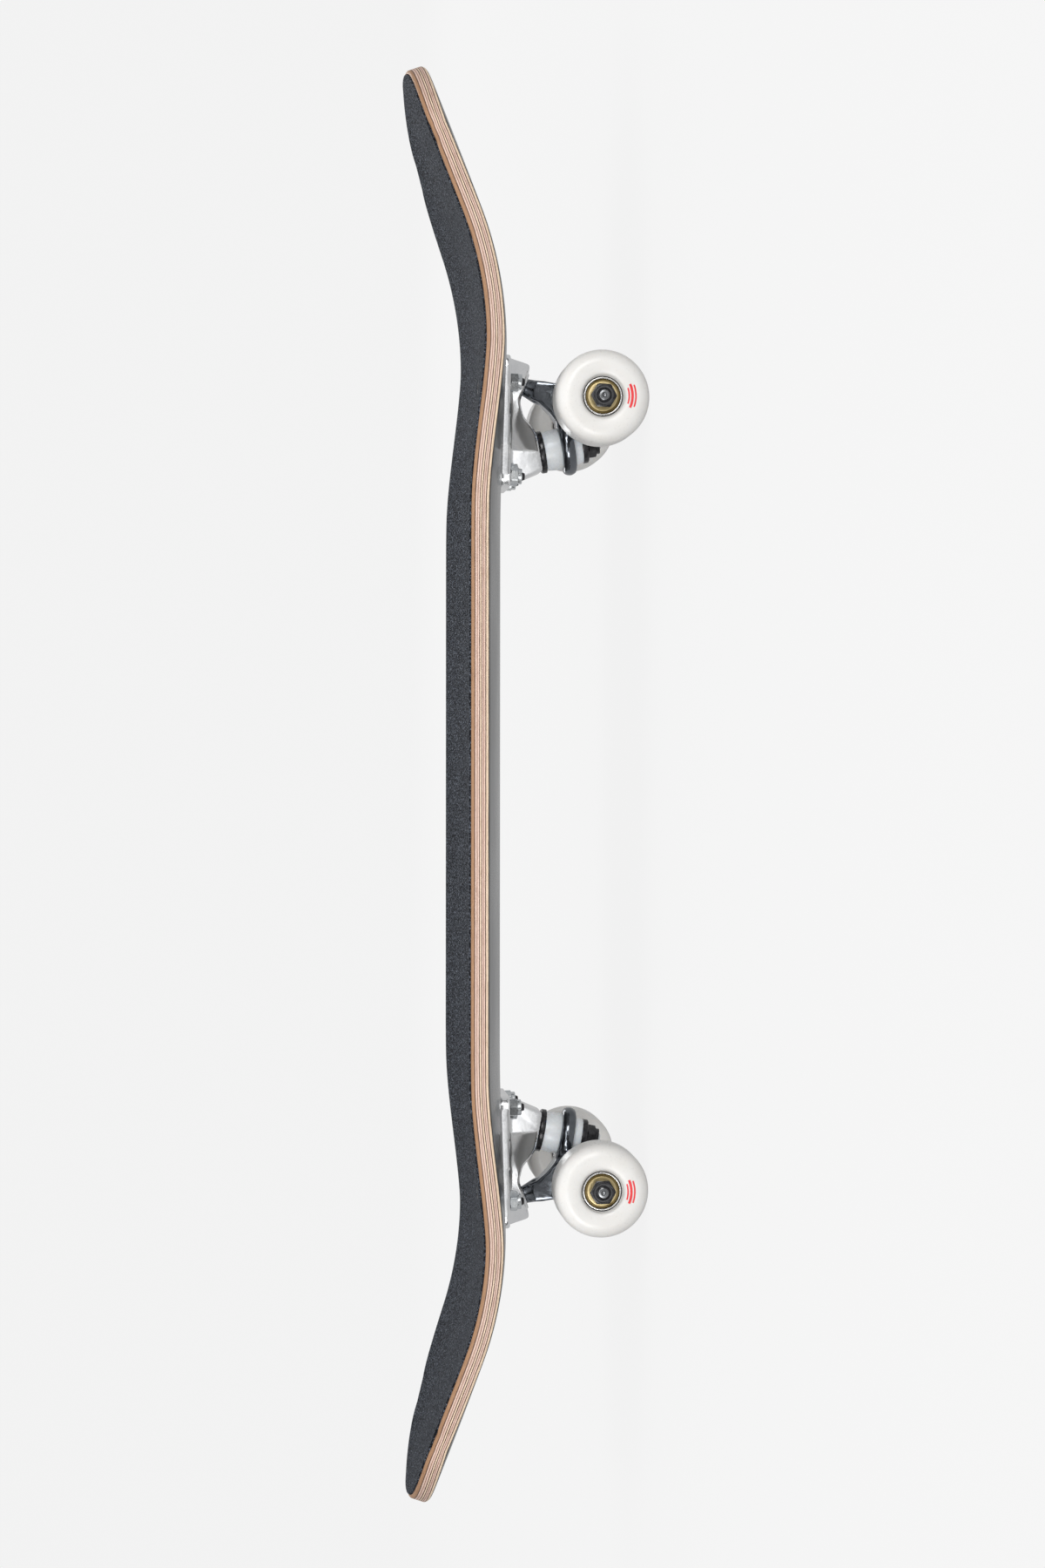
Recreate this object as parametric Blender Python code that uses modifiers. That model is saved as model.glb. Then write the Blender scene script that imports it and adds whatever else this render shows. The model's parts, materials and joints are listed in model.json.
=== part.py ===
"""Skateboard: a seven-ply deck with grip tape on two trucks with four wheels.

Metres, +Z up, +X towards the nose, +Y to the rider's left.  The board stands on its wheels on
z = 0, and the origin is the middle of its footprint.  Each truck is modelled in its own frame:
its empty sits on the deck's underside in the middle of the bolt pattern, local +X points out to
the board's end and local +Z points up through the deck.
"""

import math

import bmesh
import bpy
from mathutils import Matrix, Vector

MM = 0.001
INCH = 0.0254
GAP = 0.3 * MM                      # clearance left between pieces that touch

# Deck: outline
HALF_WIDTH = 8.25 * INCH / 2
WHEELBASE = 14.25 * INCH            # between the inner bolt holes
WHEELBASE_X = -3.4 * MM             # middle of the wheelbase, from the middle of the footprint
NOSE_TIP = 416.2 * MM               # from the middle of the wheelbase to the lower edge of the tip
TAIL_TIP = 409.4 * MM
STRAIGHT = 150 * MM                 # half length of the parallel stretch
END_NARROWING = 0.07                # share of the width lost before the rounded ends

# Deck: section and side view
DECK_THICKNESS = 10.2 * MM
GRIP_THICKNESS = 0.9 * MM
GRIP_INSET = 1.6 * MM               # how far the tape stays back from the outline
CAMBER_START = 140 * MM             # where the underside starts to fall towards the truck
CAMBER_END = 180 * MM
CAMBER_SLOPE = 0.033                # how steeply it falls under the truck
NOSE_KICK = {"low": 251 * MM, "radius": 215 * MM, "angle": math.radians(20.0)}
TAIL_KICK = {"low": 248 * MM, "radius": 205 * MM, "angle": math.radians(19.2)}
CONCAVE_MIDDLE = 11.7 * MM          # how far the rails stand above the flat middle
CONCAVE_KICK = 5.4 * MM
CONCAVE_FADE = (158 * MM, 255 * MM)
FLAT_SHARE = 0.28                   # share of the half width that is flat
CONCAVE_POWER = 1.7
COLUMNS = 34                        # facets along and across
ROWS = 10
STRAIGHT_SHARE = 6 / 17             # share of the columns on the parallel stretch
OUTLINE_SPREAD = 0.909              # spacing of the rows, and 2 / 2.2 for the rounded ends

# Truck: bolt pattern and baseplate
HOLE_SPACING_X = 2.125 * INCH
HOLE_SPACING_Y = 1.625 * INCH
TRUCK_X = WHEELBASE / 2 + HOLE_SPACING_X / 2
TRUCK_TILT = math.atan(CAMBER_SLOPE)
PLATE_INNER = -33.7 * MM
PLATE_OUTER = 42.3 * MM
PLATE_HALF_WIDTH = 27.5 * MM
PLATE_CORNER = 6 * MM
PLATE_FACE = -5.2 * MM              # the wedge-shaped plate's road face under the middle of the bolts
BODY_HALF_WIDTH = 13.5 * MM
BODY_ROUNDING = 2 * MM
HEAD_POCKET_RADIUS = 9.0 * MM       # round pocket for the kingpin's head, open to the deck

# Kingpin stack, measured along the kingpin from the bushing seat towards the road
SEAT = Vector((-11.2, 0, -23.4)) * MM
KINGPIN_ANGLE = math.radians(12.4)
KINGPIN_RADIUS = 3 / 8 * INCH / 2
KINGPIN_END = 36.6 * MM
KINGPIN_HEAD = (-15.5 * MM, -9.5 * MM)
KINGPIN_HEAD_FLATS = 9 / 16 * INCH
BOARD_WASHER_RADIUS = 12.3 * MM
ROAD_WASHER_RADIUS = 10.8 * MM
WASHER_PLATE = 1.6 * MM
WASHER_HEIGHT = 3.2 * MM
RING_FACES = (12.7 * MM, 20.5 * MM)
RING_RADIUS = 16.2 * MM
RING_CUP_DEPTH = 2.7 * MM
BOARD_CUP_RADIUS = 11.9 * MM        # recesses in the ring that hold the bushings
ROAD_CUP_RADIUS = 11.2 * MM
RING_BORE = 6.6 * MM
WASHER_RELIEF_RADIUS = 12.4 * MM    # room round the road-side washer and nut
STEER_POINT = 16.4 * MM             # middle of the ring, where the steering axis crosses
ROAD_WASHER = (25.2 * MM, 28.4 * MM)
KINGPIN_NUT = (28.7 * MM, 35.4 * MM)
NUT_COLLAR = 1.6 * MM

# Pivot and axle
PIVOT_BALL = Vector((27.7, 0, -10.2)) * MM
PIVOT_ANGLE = math.radians(18.0)
PIVOT_BALL_RADIUS = 4.8 * MM
PIVOT_NOSE_RADIUS = 5.3 * MM
PIVOT_CUP_RADIUS = 8.0 * MM
PIVOT_CUP_MOUTH = 4.4 * MM          # from the ball's centre to the cup's mouth
PIVOT_CUP_BOTTOM = 6.2 * MM
AXLE = Vector((12.55, 0, -49.7)) * MM
AXLE_RADIUS = 5 / 16 * INCH / 2
AXLE_HALF_LENGTH = 8.25 * INCH / 2
HANGER_HALF_WIDTH = 72 * MM
WEB_HALF_WIDTH = 8.5 * MM
WEB_ROUNDING = 2.5 * MM
GUSSET_LEAN = math.radians(32)      # from the tube up to the ring
GUSSET_HALF_THICKNESS = 5 * MM

# Wheels and bearings
WHEEL_Y = 85 * MM
WHEEL_RADIUS = 26 * MM
WHEEL_HALF_WIDTH = 15.5 * MM
WHEEL_STEPS = 24
BEARING_RADIUS = 11 * MM
BEARING_WIDTH = 7 * MM
BEARING_BORE = AXLE_RADIUS + GAP
SPACER_HALF_LENGTH = 5 * MM
SPACER_RADIUS = 5 * MM
SPACER_BORE_RADIUS = 8.6 * MM       # the wheel's bore between the bearings
AXLE_NUT = (98.0 * MM, 104.0 * MM)
AXLE_NUT_FLATS = 1 / 2 * INCH

# Heights that follow: the wheels stand on z = 0, and the trucks carry the deck
TRUCK_Z = WHEEL_RADIUS + AXLE.x * math.sin(TRUCK_TILT) - AXLE.z * math.cos(TRUCK_TILT)
CAMBER_FALL = CAMBER_SLOPE * (CAMBER_END - CAMBER_START) / 2
UNDERSIDE_Z = TRUCK_Z + CAMBER_FALL + CAMBER_SLOPE * (TRUCK_X - CAMBER_END)

# Mounting hardware
BOLT_RADIUS = 2.4 * MM
BOLT_HEAD_RADIUS = 4.6 * MM
BOLT_HEAD_HEIGHT = 2.8 * MM
BOLT_NUT_FLATS = 9.5 * MM
BOLT_NUT_HEIGHT = 6.3 * MM
BOLT_NUT_COLLAR = 2.2 * MM
BOLT_NUT_CLEARANCE = 0.5 * MM       # from the sloping plate to the square nut
BOLT_STICK_OUT = 2.0 * MM           # how far the bolt shows past its nut


# ---------------------------------------------------------------- scene and helpers

def clear_scene():
    for obj in list(bpy.data.objects):
        bpy.data.objects.remove(obj, do_unlink=True)


def new_collection(name):
    collection = bpy.data.collections.new(name)
    bpy.context.scene.collection.children.link(collection)
    return collection


def new_material(name, colour, roughness, metallic=0.0):
    material = bpy.data.materials.new(name)
    material.use_nodes = True
    shader = material.node_tree.nodes["Principled BSDF"]
    shader.inputs["Base Color"].default_value = (*colour, 1.0)
    shader.inputs["Roughness"].default_value = roughness
    shader.inputs["Metallic"].default_value = metallic
    return material


def add_object(name, mesh, material, collection, parent=None, matrix=Matrix.Identity(4)):
    """Put a mesh or curve in the scene, placed by a matrix in its parent's frame."""
    obj = bpy.data.objects.new(name, mesh)
    collection.objects.link(obj)
    obj.parent = parent
    obj.matrix_local = matrix
    if not mesh.materials:
        mesh.materials.append(material)
    return obj


def add_empty(name, collection, parent=None, matrix=Matrix.Identity(4)):
    empty = bpy.data.objects.new(name, None)
    empty.empty_display_size = 0.02
    collection.objects.link(empty)
    empty.parent = parent
    empty.matrix_local = matrix
    return empty


def shade(mesh):
    mesh.shade_smooth()
    mesh.set_sharp_from_angle(angle=math.radians(35))


def evaluated_mesh(obj, name):
    """The mesh of an object with its modifiers applied."""
    bpy.context.view_layer.update()
    depsgraph = bpy.context.evaluated_depsgraph_get()
    mesh = bpy.data.meshes.new_from_object(obj.evaluated_get(depsgraph), depsgraph=depsgraph)
    mesh.name = name
    return mesh


def along(origin, direction):
    """A frame at origin whose local +Z points along direction."""
    return Matrix.Translation(origin) @ direction.to_track_quat("Z", "Y").to_matrix().to_4x4()


def across(origin, side):
    """A frame at origin whose local +Z points to the left (side 1) or the right (side -1)."""
    return Matrix.Translation(origin) @ Matrix.Rotation(-side * math.pi / 2, 4, "X")


def shifted(frame, distance):
    """The same frame moved along its own +Z."""
    return frame @ Matrix.Translation((0, 0, distance))


def turned_mesh(name, profile, steps, ring=False, phase=0.0):
    """Turn a profile of (radius, height) round local Z with a Screw modifier.

    The profile runs down the outer side.  A ring's profile is closed; another one starts and
    ends on the axis.
    """
    wire = bpy.data.meshes.new(name + "_profile")
    points = [(radius * math.cos(phase), radius * math.sin(phase), height) for radius, height in profile]
    edges = [(i, i + 1) for i in range(len(points) - 1)]
    if ring:
        edges.append((len(points) - 1, 0))
    wire.from_pydata(points, edges, [])
    obj = bpy.data.objects.new(name + "_turning", wire)
    bpy.context.scene.collection.objects.link(obj)
    screw = obj.modifiers.new("Turn", "SCREW")
    screw.axis = "Z"
    screw.steps = steps
    screw.render_steps = steps
    screw.use_merge_vertices = True
    screw.merge_threshold = 0.00001
    screw.use_smooth_shade = False
    mesh = evaluated_mesh(obj, name)
    bpy.data.objects.remove(obj, do_unlink=True)
    shade(mesh)
    return mesh


def tube_profile(outer, inner, top, bottom):
    return [(outer, top), (outer, bottom), (inner, bottom), (inner, top)]


def rod_profile(radius, top, bottom):
    return [(0, top), (radius, top), (radius, bottom), (0, bottom)]


def arc(centre, radius, start, end, count):
    """Points on an arc, from start to end degrees."""
    angles = [math.radians(start + (end - start) * i / (count - 1)) for i in range(count)]
    return [(centre[0] + radius * math.cos(a), centre[1] + radius * math.sin(a)) for a in angles]


def extruded_mesh(name, outline, half_width, frame=Matrix.Identity(4), rounding=0.0):
    """A flat outline of (x, y) points made solid by a filled curve, with rounded edges."""
    curve = bpy.data.curves.new(name + "_outline", "CURVE")
    curve.dimensions = "2D"
    curve.fill_mode = "BOTH"
    curve.extrude = half_width
    spline = curve.splines.new("POLY")
    spline.points.add(len(outline) - 1)
    for point, (x, y) in zip(spline.points, outline):
        point.co = (x, y, 0, 1)
    spline.use_cyclic_u = True
    obj = bpy.data.objects.new(name + "_outline", curve)
    bpy.context.scene.collection.objects.link(obj)
    mesh = evaluated_mesh(obj, name)
    bpy.data.objects.remove(obj, do_unlink=True)
    welded = bmesh.new()
    welded.from_mesh(mesh)
    bmesh.ops.remove_doubles(welded, verts=welded.verts, dist=0.00001)
    bmesh.ops.dissolve_limit(welded, angle_limit=math.radians(1), verts=welded.verts, edges=welded.edges)
    if rounding:
        rims = [e for e in welded.edges if e.is_manifold and e.calc_face_angle() > math.radians(60)]
        rims = [e for e in rims if abs(e.verts[0].co.z - e.verts[1].co.z) < half_width]
        bmesh.ops.bevel(welded, geom=rims, offset=rounding, segments=1, affect="EDGES")
    welded.transform(frame)
    bmesh.ops.recalc_face_normals(welded, faces=welded.faces)
    welded.to_mesh(mesh)
    welded.free()
    return mesh


def hexagon_mesh(name, flats, height, bore, collar=0.0):
    """A hexagon nut standing on z = 0, with an optional round collar on top."""
    mesh = bpy.data.meshes.new(name)
    nut = bmesh.new()
    radius = flats / math.sqrt(3)
    bmesh.ops.create_cone(nut, cap_ends=True, segments=6, radius1=radius, radius2=radius,
                          depth=height - collar,
                          matrix=Matrix.Translation((0, 0, (height - collar) / 2)))
    nut.to_mesh(mesh)
    nut.free()
    obj = bpy.data.objects.new(name + "_blank", mesh)
    bpy.context.scene.collection.objects.link(obj)
    extras = []
    if collar:
        round_top = rod_profile(0.46 * flats, height, height - 1.5 * collar)
        extras.append(("UNION", turned_mesh(name + "_collar", round_top, 12, phase=0.1)))
    if bore:
        hole = rod_profile(bore, 2 * height, -height)
        extras.append(("DIFFERENCE", turned_mesh(name + "_bore", hole, 16, phase=0.05)))
    return boolean_mesh(obj, extras, name)


def boolean_mesh(obj, steps, name):
    """Apply a list of (operation, mesh) to an object, remove it and return the result."""
    tools = []
    for operation, tool_mesh in steps:
        tool = bpy.data.objects.new(name + "_tool", tool_mesh)
        bpy.context.scene.collection.objects.link(tool)
        tools.append(tool)
        boolean = obj.modifiers.new(operation, "BOOLEAN")
        boolean.operation = operation
        boolean.solver = "EXACT"
        boolean.object = tool
    mesh = evaluated_mesh(obj, name)
    for helper in (*tools, obj):
        bpy.data.objects.remove(helper, do_unlink=True)
    cleaned = bmesh.new()
    cleaned.from_mesh(mesh)
    bmesh.ops.remove_doubles(cleaned, verts=cleaned.verts, dist=0.00002)
    bmesh.ops.dissolve_degenerate(cleaned, edges=cleaned.edges, dist=0.00002)
    cleaned.to_mesh(mesh)
    cleaned.free()
    shade(mesh)
    return mesh


def joined_solid(name, first, steps):
    """Unite and cut meshes, starting from the first one."""
    obj = bpy.data.objects.new(name + "_base", first)
    bpy.context.scene.collection.objects.link(obj)
    return boolean_mesh(obj, steps, name)


# ---------------------------------------------------------------- deck

def smooth_step(value, start, end):
    share = min(1.0, max(0.0, (value - start) / (end - start)))
    return share * share * (3 - 2 * share)


def underside_height(x):
    """Height of the underside on the centre line, x metres from the middle of the wheelbase."""
    kick = NOSE_KICK if x > 0 else TAIL_KICK
    x = abs(x)
    if x <= CAMBER_START:
        return UNDERSIDE_Z
    if x <= CAMBER_END:
        return UNDERSIDE_Z - CAMBER_FALL * ((x - CAMBER_START) / (CAMBER_END - CAMBER_START)) ** 2
    level = UNDERSIDE_Z - CAMBER_FALL
    kick_start = kick["low"] - kick["radius"] * math.sin(TRUCK_TILT)
    if x <= kick_start:
        return level - CAMBER_SLOPE * (x - CAMBER_END)
    level -= CAMBER_SLOPE * (kick_start - CAMBER_END)
    lowest = level - kick["radius"] * (1 - math.cos(TRUCK_TILT))
    kick_end = kick["low"] + kick["radius"] * math.sin(kick["angle"])
    if x <= kick_end:
        turn = math.asin((x - kick["low"]) / kick["radius"])
        return lowest + kick["radius"] * (1 - math.cos(turn))
    top_of_bend = lowest + kick["radius"] * (1 - math.cos(kick["angle"]))
    return top_of_bend + (x - kick_end) * math.tan(kick["angle"])


def concave_height(x, share):
    """How far the deck is raised at a share of its half width, from 0 in the middle to 1."""
    rise = CONCAVE_MIDDLE + (CONCAVE_KICK - CONCAVE_MIDDLE) * smooth_step(abs(x), *CONCAVE_FADE)
    curved = max(0.0, share - FLAT_SHARE) / (1 - FLAT_SHARE)
    return rise * curved ** CONCAVE_POWER


def outline_point(a, b, inset=0.0):
    """Plan position for a place on the square grid; a runs tail to nose and b across, -1 to 1.

    The rounded ends are quarters of the curve t^4 + w^2.2 = 1.
    """
    if abs(a) <= STRAIGHT_SHARE:
        share = math.copysign(abs(b) ** OUTLINE_SPREAD, b)
        return STRAIGHT * a / STRAIGHT_SHARE, (HALF_WIDTH - inset) * share
    q = (abs(a) - STRAIGHT_SHARE) / (1 - STRAIGHT_SHARE)
    t = q * (1 - b * b / 2) ** 0.25
    w = math.copysign((abs(b) * math.sqrt(1 - q ** 4 / 2)) ** OUTLINE_SPREAD, b)
    narrowing = 1 - END_NARROWING * smooth_step(t, 0, 0.7)
    tip = NOSE_TIP if a > 0 else TAIL_TIP
    x = STRAIGHT + (tip - inset - STRAIGHT) * t
    return math.copysign(x, a), (HALF_WIDTH - inset) * w * narrowing


def deck_point(a, b, inset=0.0):
    x, y = outline_point(a, b, inset)
    share = abs(b) ** OUTLINE_SPREAD * (1 - inset / HALF_WIDTH)
    z = underside_height(x) + concave_height(x, share)
    return Vector((x + WHEELBASE_X, y, z))


def sheet_normal(vert):
    """The sheet's normal at a vertex.  The grid's corners are flattened, so they take the next one in."""
    if len(vert.link_faces) > 1:
        return vert.normal
    corner_face = vert.link_faces[0]
    neighbours = [edge.other_vert(vert) for edge in vert.link_edges]
    across_corner = next(v for v in corner_face.verts if v is not vert and v not in neighbours)
    return across_corner.normal


def sheet_mesh(name, height, thickness, inset=0.0):
    """A sheet that follows the deck, its lower face at a height above the underside."""
    sheet = bmesh.new()
    bmesh.ops.create_grid(sheet, x_segments=COLUMNS, y_segments=ROWS, size=1.0)
    for vert in sheet.verts:
        vert.co = deck_point(vert.co.x, vert.co.y, inset)
    sheet.normal_update()
    raised = {vert: vert.co + sheet_normal(vert) * height for vert in sheet.verts}
    for vert, place in raised.items():
        vert.co = place
    mesh = bpy.data.meshes.new(name)
    sheet.to_mesh(mesh)
    sheet.free()
    obj = bpy.data.objects.new(name + "_sheet", mesh)
    bpy.context.scene.collection.objects.link(obj)
    solidify = obj.modifiers.new("Thickness", "SOLIDIFY")
    solidify.thickness = thickness
    solidify.offset = 1.0
    solid = evaluated_mesh(obj, name)
    bpy.data.objects.remove(obj, do_unlink=True)
    shade(solid)
    return solid


def bolt_places():
    """The four bolts: outward 1 or -1, side 1 or -1, and the position in the truck's frame."""
    for outward in (1, -1):
        for side in (1, -1):
            yield outward, side, Vector((outward * HOLE_SPACING_X / 2, side * HOLE_SPACING_Y / 2, 0))


def bolt_nut_top(outward):
    """Where the nuts of the outer (1) or inner (-1) bolts start, under the wedge-shaped plate."""
    return PLATE_FACE + outward * CAMBER_SLOPE * HOLE_SPACING_X / 2 - BOLT_NUT_CLEARANCE


def bolt_profile(clearance, end):
    """Countersunk bolt, or the hole for it, as (radius, height) above the deck's underside."""
    top = DECK_THICKNESS + GAP + GRIP_THICKNESS
    head = BOLT_HEAD_RADIUS + clearance
    shank = BOLT_RADIUS + clearance
    return [(0, top), (head, top), (shank, top - BOLT_HEAD_HEIGHT), (shank, end), (0, end)]


def make_deck_parts(parts, cutters, materials, truck_frames):
    deck = add_object("deck", sheet_mesh("deck", 0.0, DECK_THICKNESS), materials["maple"], parts)
    grip_mesh = sheet_mesh("grip_tape", DECK_THICKNESS + GAP, GRIP_THICKNESS, GRIP_INSET)
    grip = add_object("grip_tape", grip_mesh, materials["grit"], parts)
    hole = turned_mesh("bolt_hole", widened_hole_profile(), 12)
    for frame in truck_frames:
        for _, _, place in bolt_places():
            cutter = bpy.data.objects.new("bolt_hole", hole)
            cutter.matrix_world = frame @ Matrix.Translation(place)
            cutter.hide_render = True
            cutter.display_type = "WIRE"
            cutters.objects.link(cutter)
    for obj in (deck, grip):
        boolean = obj.modifiers.new("Bolt holes", "BOOLEAN")
        boolean.operand_type = "COLLECTION"
        boolean.collection = cutters
        boolean.solver = "EXACT"


def widened_hole_profile():
    """The bolt's own profile with clearance, run past both faces of the deck."""
    above = DECK_THICKNESS + GRIP_THICKNESS + 4 * MM
    below = -2 * MM
    _, (head, top), (shank, neck), _, _ = bolt_profile(GAP, below)
    return [(0, above), (head, above), (head, top - GAP),
            (shank, neck - GAP), (shank, below), (0, below)]


# ---------------------------------------------------------------- trucks

KINGPIN_DOWN = Vector((math.sin(KINGPIN_ANGLE), 0, -math.cos(KINGPIN_ANGLE)))
STEER_CENTRE = SEAT + KINGPIN_DOWN * STEER_POINT
STEER_AXIS = (PIVOT_BALL - STEER_CENTRE).normalized()
PIVOT_DOWN = Vector((-math.sin(PIVOT_ANGLE), 0, -math.cos(PIVOT_ANGLE)))
KINGPIN_FRAME = along(SEAT, KINGPIN_DOWN)
PIVOT_FRAME = along(PIVOT_BALL, PIVOT_DOWN)
SIDE_VIEW = Matrix.Rotation(math.pi / 2, 4, "X")      # an outline's x, y become x, z


def baseplate_mesh():
    """Plate, kingpin boss and pivot boss in one casting, with its holes."""
    corner = PLATE_CORNER
    half = PLATE_HALF_WIDTH - corner
    outline = (arc((PLATE_OUTER - corner, half), corner, 0, 90, 4)
               + arc((PLATE_INNER + corner, half), corner, 90, 180, 4)
               + arc((PLATE_INNER + corner, -half), corner, 180, 270, 4)
               + arc((PLATE_OUTER - corner, -half), corner, 270, 360, 4))
    plate = extruded_mesh("baseplate_plate", outline, -PLATE_FACE / 2)
    for vert in plate.vertices:
        face = -GAP if vert.co.z > 0 else PLATE_FACE + CAMBER_SLOPE * vert.co.x
        vert.co.z = face
    # Side view of the two bosses and the saddle between them, from the outer end inwards
    root = PLATE_FACE / 2
    side = [(x * MM, z * MM) for x, z in (
        (41.5, root / MM), (41.2, -5.6), (37.6, -15.6), (36.2, -16.6), (16.6, -10.9), (12.2, -12.0),
        (8.5, -13.6), (4.2, -16.6), (-0.7, -21.1), (-21.6, -25.7), (-31.4, -5.4), (-32.4, root / MM))]
    body = extruded_mesh("baseplate_body", side, BODY_HALF_WIDTH, SIDE_VIEW, rounding=BODY_ROUNDING)
    # The tools run well past the faces that they cut
    pocket = rod_profile(HEAD_POCKET_RADIUS, 30 * MM, -KINGPIN_HEAD[1] - GAP)
    kingpin_hole = rod_profile(KINGPIN_RADIUS + GAP, 12 * MM, -4 * MM)
    cup_hole = rod_profile(PIVOT_CUP_RADIUS + GAP, 15 * MM, -PIVOT_CUP_BOTTOM - GAP)
    up = along(SEAT, -KINGPIN_DOWN)
    steps = [("UNION", body)]
    for name, profile, frame, sides in (("pocket", pocket, up, 20), ("kingpin_hole", kingpin_hole, up, 16),
                                        ("cup_hole", cup_hole, PIVOT_FRAME, 20)):
        tool = turned_mesh(name, profile, sides)
        tool.transform(frame)
        steps.append(("DIFFERENCE", tool))
    for _, _, place in bolt_places():
        tool = turned_mesh("plate_hole", rod_profile(BOLT_RADIUS + GAP, 5 * MM, -30 * MM), 12)
        tool.transform(Matrix.Translation(place))
        steps.append(("DIFFERENCE", tool))
    return joined_solid("baseplate", plate, steps)


def pivot_cup_mesh():
    """Urethane cup with a round seat and a flared mouth; its local +Z points out of the mouth."""
    seat = PIVOT_BALL_RADIUS + GAP
    outside = [(PIVOT_CUP_RADIUS, PIVOT_CUP_MOUTH), (PIVOT_CUP_RADIUS, -PIVOT_CUP_BOTTOM)]
    outside += [(0, -PIVOT_CUP_BOTTOM), (0, -seat)]
    inside = arc((0, 0), seat, -65, 0, 4)
    mouth = (PIVOT_CUP_RADIUS - 1.0 * MM, PIVOT_CUP_MOUTH)
    return turned_mesh("pivot_cup", outside + inside + [mouth], 16, ring=True)


def hanger_mesh():
    """Axle tube, bushing ring and pivot arm in one casting, in the truck's frame."""
    tube_half = [(9.4, 0), (9.3, 40), (8.6, 56), (8.5, 71), (7.7, 72)]
    profile = [(r * MM, y * MM) for r, y in reversed(tube_half)]
    profile += [(r, -y) for r, y in reversed(profile[:-1])]
    profile = [(0, HANGER_HALF_WIDTH)] + profile + [(0, -HANGER_HALF_WIDTH)]
    tube = turned_mesh("axle_tube", profile, 16)
    tube.transform(across(AXLE, 1))

    top, bottom = RING_FACES
    ring = [(0, bottom), (RING_RADIUS - 2.0 * MM, bottom), (RING_RADIUS, bottom - 3.5 * MM),
            (RING_RADIUS, top + 1.5 * MM), (RING_RADIUS - 1.5 * MM, top), (0, top)]
    ring = turned_mesh("ring", ring, 20)
    ring.transform(KINGPIN_FRAME)

    # Side view of the web that joins the pivot nose, the ring and the tube
    side = [(x * MM, z * MM) for x, z in (
        (29.8, -19.6), (29.6, -25.0), (28.2, -34.0), (25.4, -45.0), (20.0, -56.0), (10.5, -59.0),
        (1.0, -54.0), (-6.0, -43.5), (-3.0, -36.2), (6.0, -33.2), (12.6, -28.0), (18.0, -21.5),
        (19.6, -16.9))]
    web = extruded_mesh("web", side, WEB_HALF_WIDTH, SIDE_VIEW, rounding=WEB_ROUNDING)

    nose = [(0, -PIVOT_BALL_RADIUS)] + arc((0, 0), PIVOT_BALL_RADIUS, -60, 0, 3)
    nose += [(PIVOT_NOSE_RADIUS, 6 * MM), (PIVOT_NOSE_RADIUS + 3 * MM, 22 * MM), (0, 22 * MM)]
    nose = turned_mesh("nose", [(r, z) for r, z in reversed(nose)], 16)
    nose.transform(PIVOT_FRAME)

    # Gusset from the tube's ends up to the ring, in the plane through the axle that leans inwards
    gusset_outline = [(y * MM, t * MM) for y, t in (
        (-58, 2), (-16, 15), (16, 15), (58, 2), (58, -4), (-58, -4))]
    lean = Matrix.Translation(AXLE) @ Matrix.Rotation(-GUSSET_LEAN, 4, "Y")
    to_plane = Matrix(((0, 0, 1, 0), (1, 0, 0, 0), (0, 1, 0, 0), (0, 0, 0, 1)))
    gusset = extruded_mesh("gusset", gusset_outline, GUSSET_HALF_THICKNESS, lean @ to_plane)

    steps = [("UNION", web), ("UNION", gusset), ("UNION", ring), ("UNION", nose)]
    cutters = (
        ("washer_relief", WASHER_RELIEF_RADIUS, bottom - 0.2 * MM, bottom + 25 * MM),
        ("board_cup", BOARD_CUP_RADIUS, top - 5 * MM, top + RING_CUP_DEPTH),
        ("road_cup", ROAD_CUP_RADIUS, bottom - RING_CUP_DEPTH, bottom + 2 * MM),
        ("ring_bore", RING_BORE, top - 5 * MM, bottom + 5 * MM))
    for name, radius, start, end in cutters:
        tool = turned_mesh(name, rod_profile(radius, end, start), 20)
        tool.transform(KINGPIN_FRAME)
        steps.append(("DIFFERENCE", tool))
    axle_bore = rod_profile(AXLE_RADIUS + GAP, AXLE_HALF_LENGTH, -AXLE_HALF_LENGTH)
    tool = turned_mesh("axle_bore", axle_bore, 14, phase=0.1)
    tool.transform(across(AXLE, 1))
    steps.append(("DIFFERENCE", tool))
    return joined_solid("hanger", tube, steps)


def cup_washer_mesh(radius, height, opens_up):
    """Pressed washer whose rim holds the end of a bushing."""
    bore = KINGPIN_RADIUS + GAP
    rim = radius - 0.7 * MM
    profile = [(radius, height), (radius, 0), (bore, 0),
               (bore, WASHER_PLATE), (rim, WASHER_PLATE), (rim, height)]
    if not opens_up:
        profile = [(r, height - z) for r, z in reversed(profile)]
    return turned_mesh("cup_washer", profile, 20, ring=True)


def bushing_mesh(start, end, radii):
    """Urethane bushing with a slightly crowned side, along the kingpin from start to end."""
    bore = KINGPIN_RADIUS + GAP
    count = len(radii)
    side = [(radius, start + (end - start) * i / (count - 1)) for i, radius in enumerate(radii)]
    profile = [*reversed(side), (bore, start), (bore, end)]
    return turned_mesh("bushing", profile, 20, ring=True)


def kingpin_mesh():
    """Hexagon head and a shank that starts inside it and ends in a chamfer."""
    shank_start = KINGPIN_HEAD[0] + 3 * MM
    shank = [(0, KINGPIN_END), (KINGPIN_RADIUS - 0.6 * MM, KINGPIN_END),
             (KINGPIN_RADIUS, KINGPIN_END - 1 * MM), (KINGPIN_RADIUS, shank_start), (0, shank_start)]
    head_height = KINGPIN_HEAD[1] - KINGPIN_HEAD[0]
    head = hexagon_mesh("kingpin_head", KINGPIN_HEAD_FLATS, head_height, 0.0)
    head.transform(Matrix.Translation((0, 0, KINGPIN_HEAD[0])))
    return joined_solid("kingpin", head, [("UNION", turned_mesh("shank", shank, 16))])


# ---------------------------------------------------------------- wheels

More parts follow.
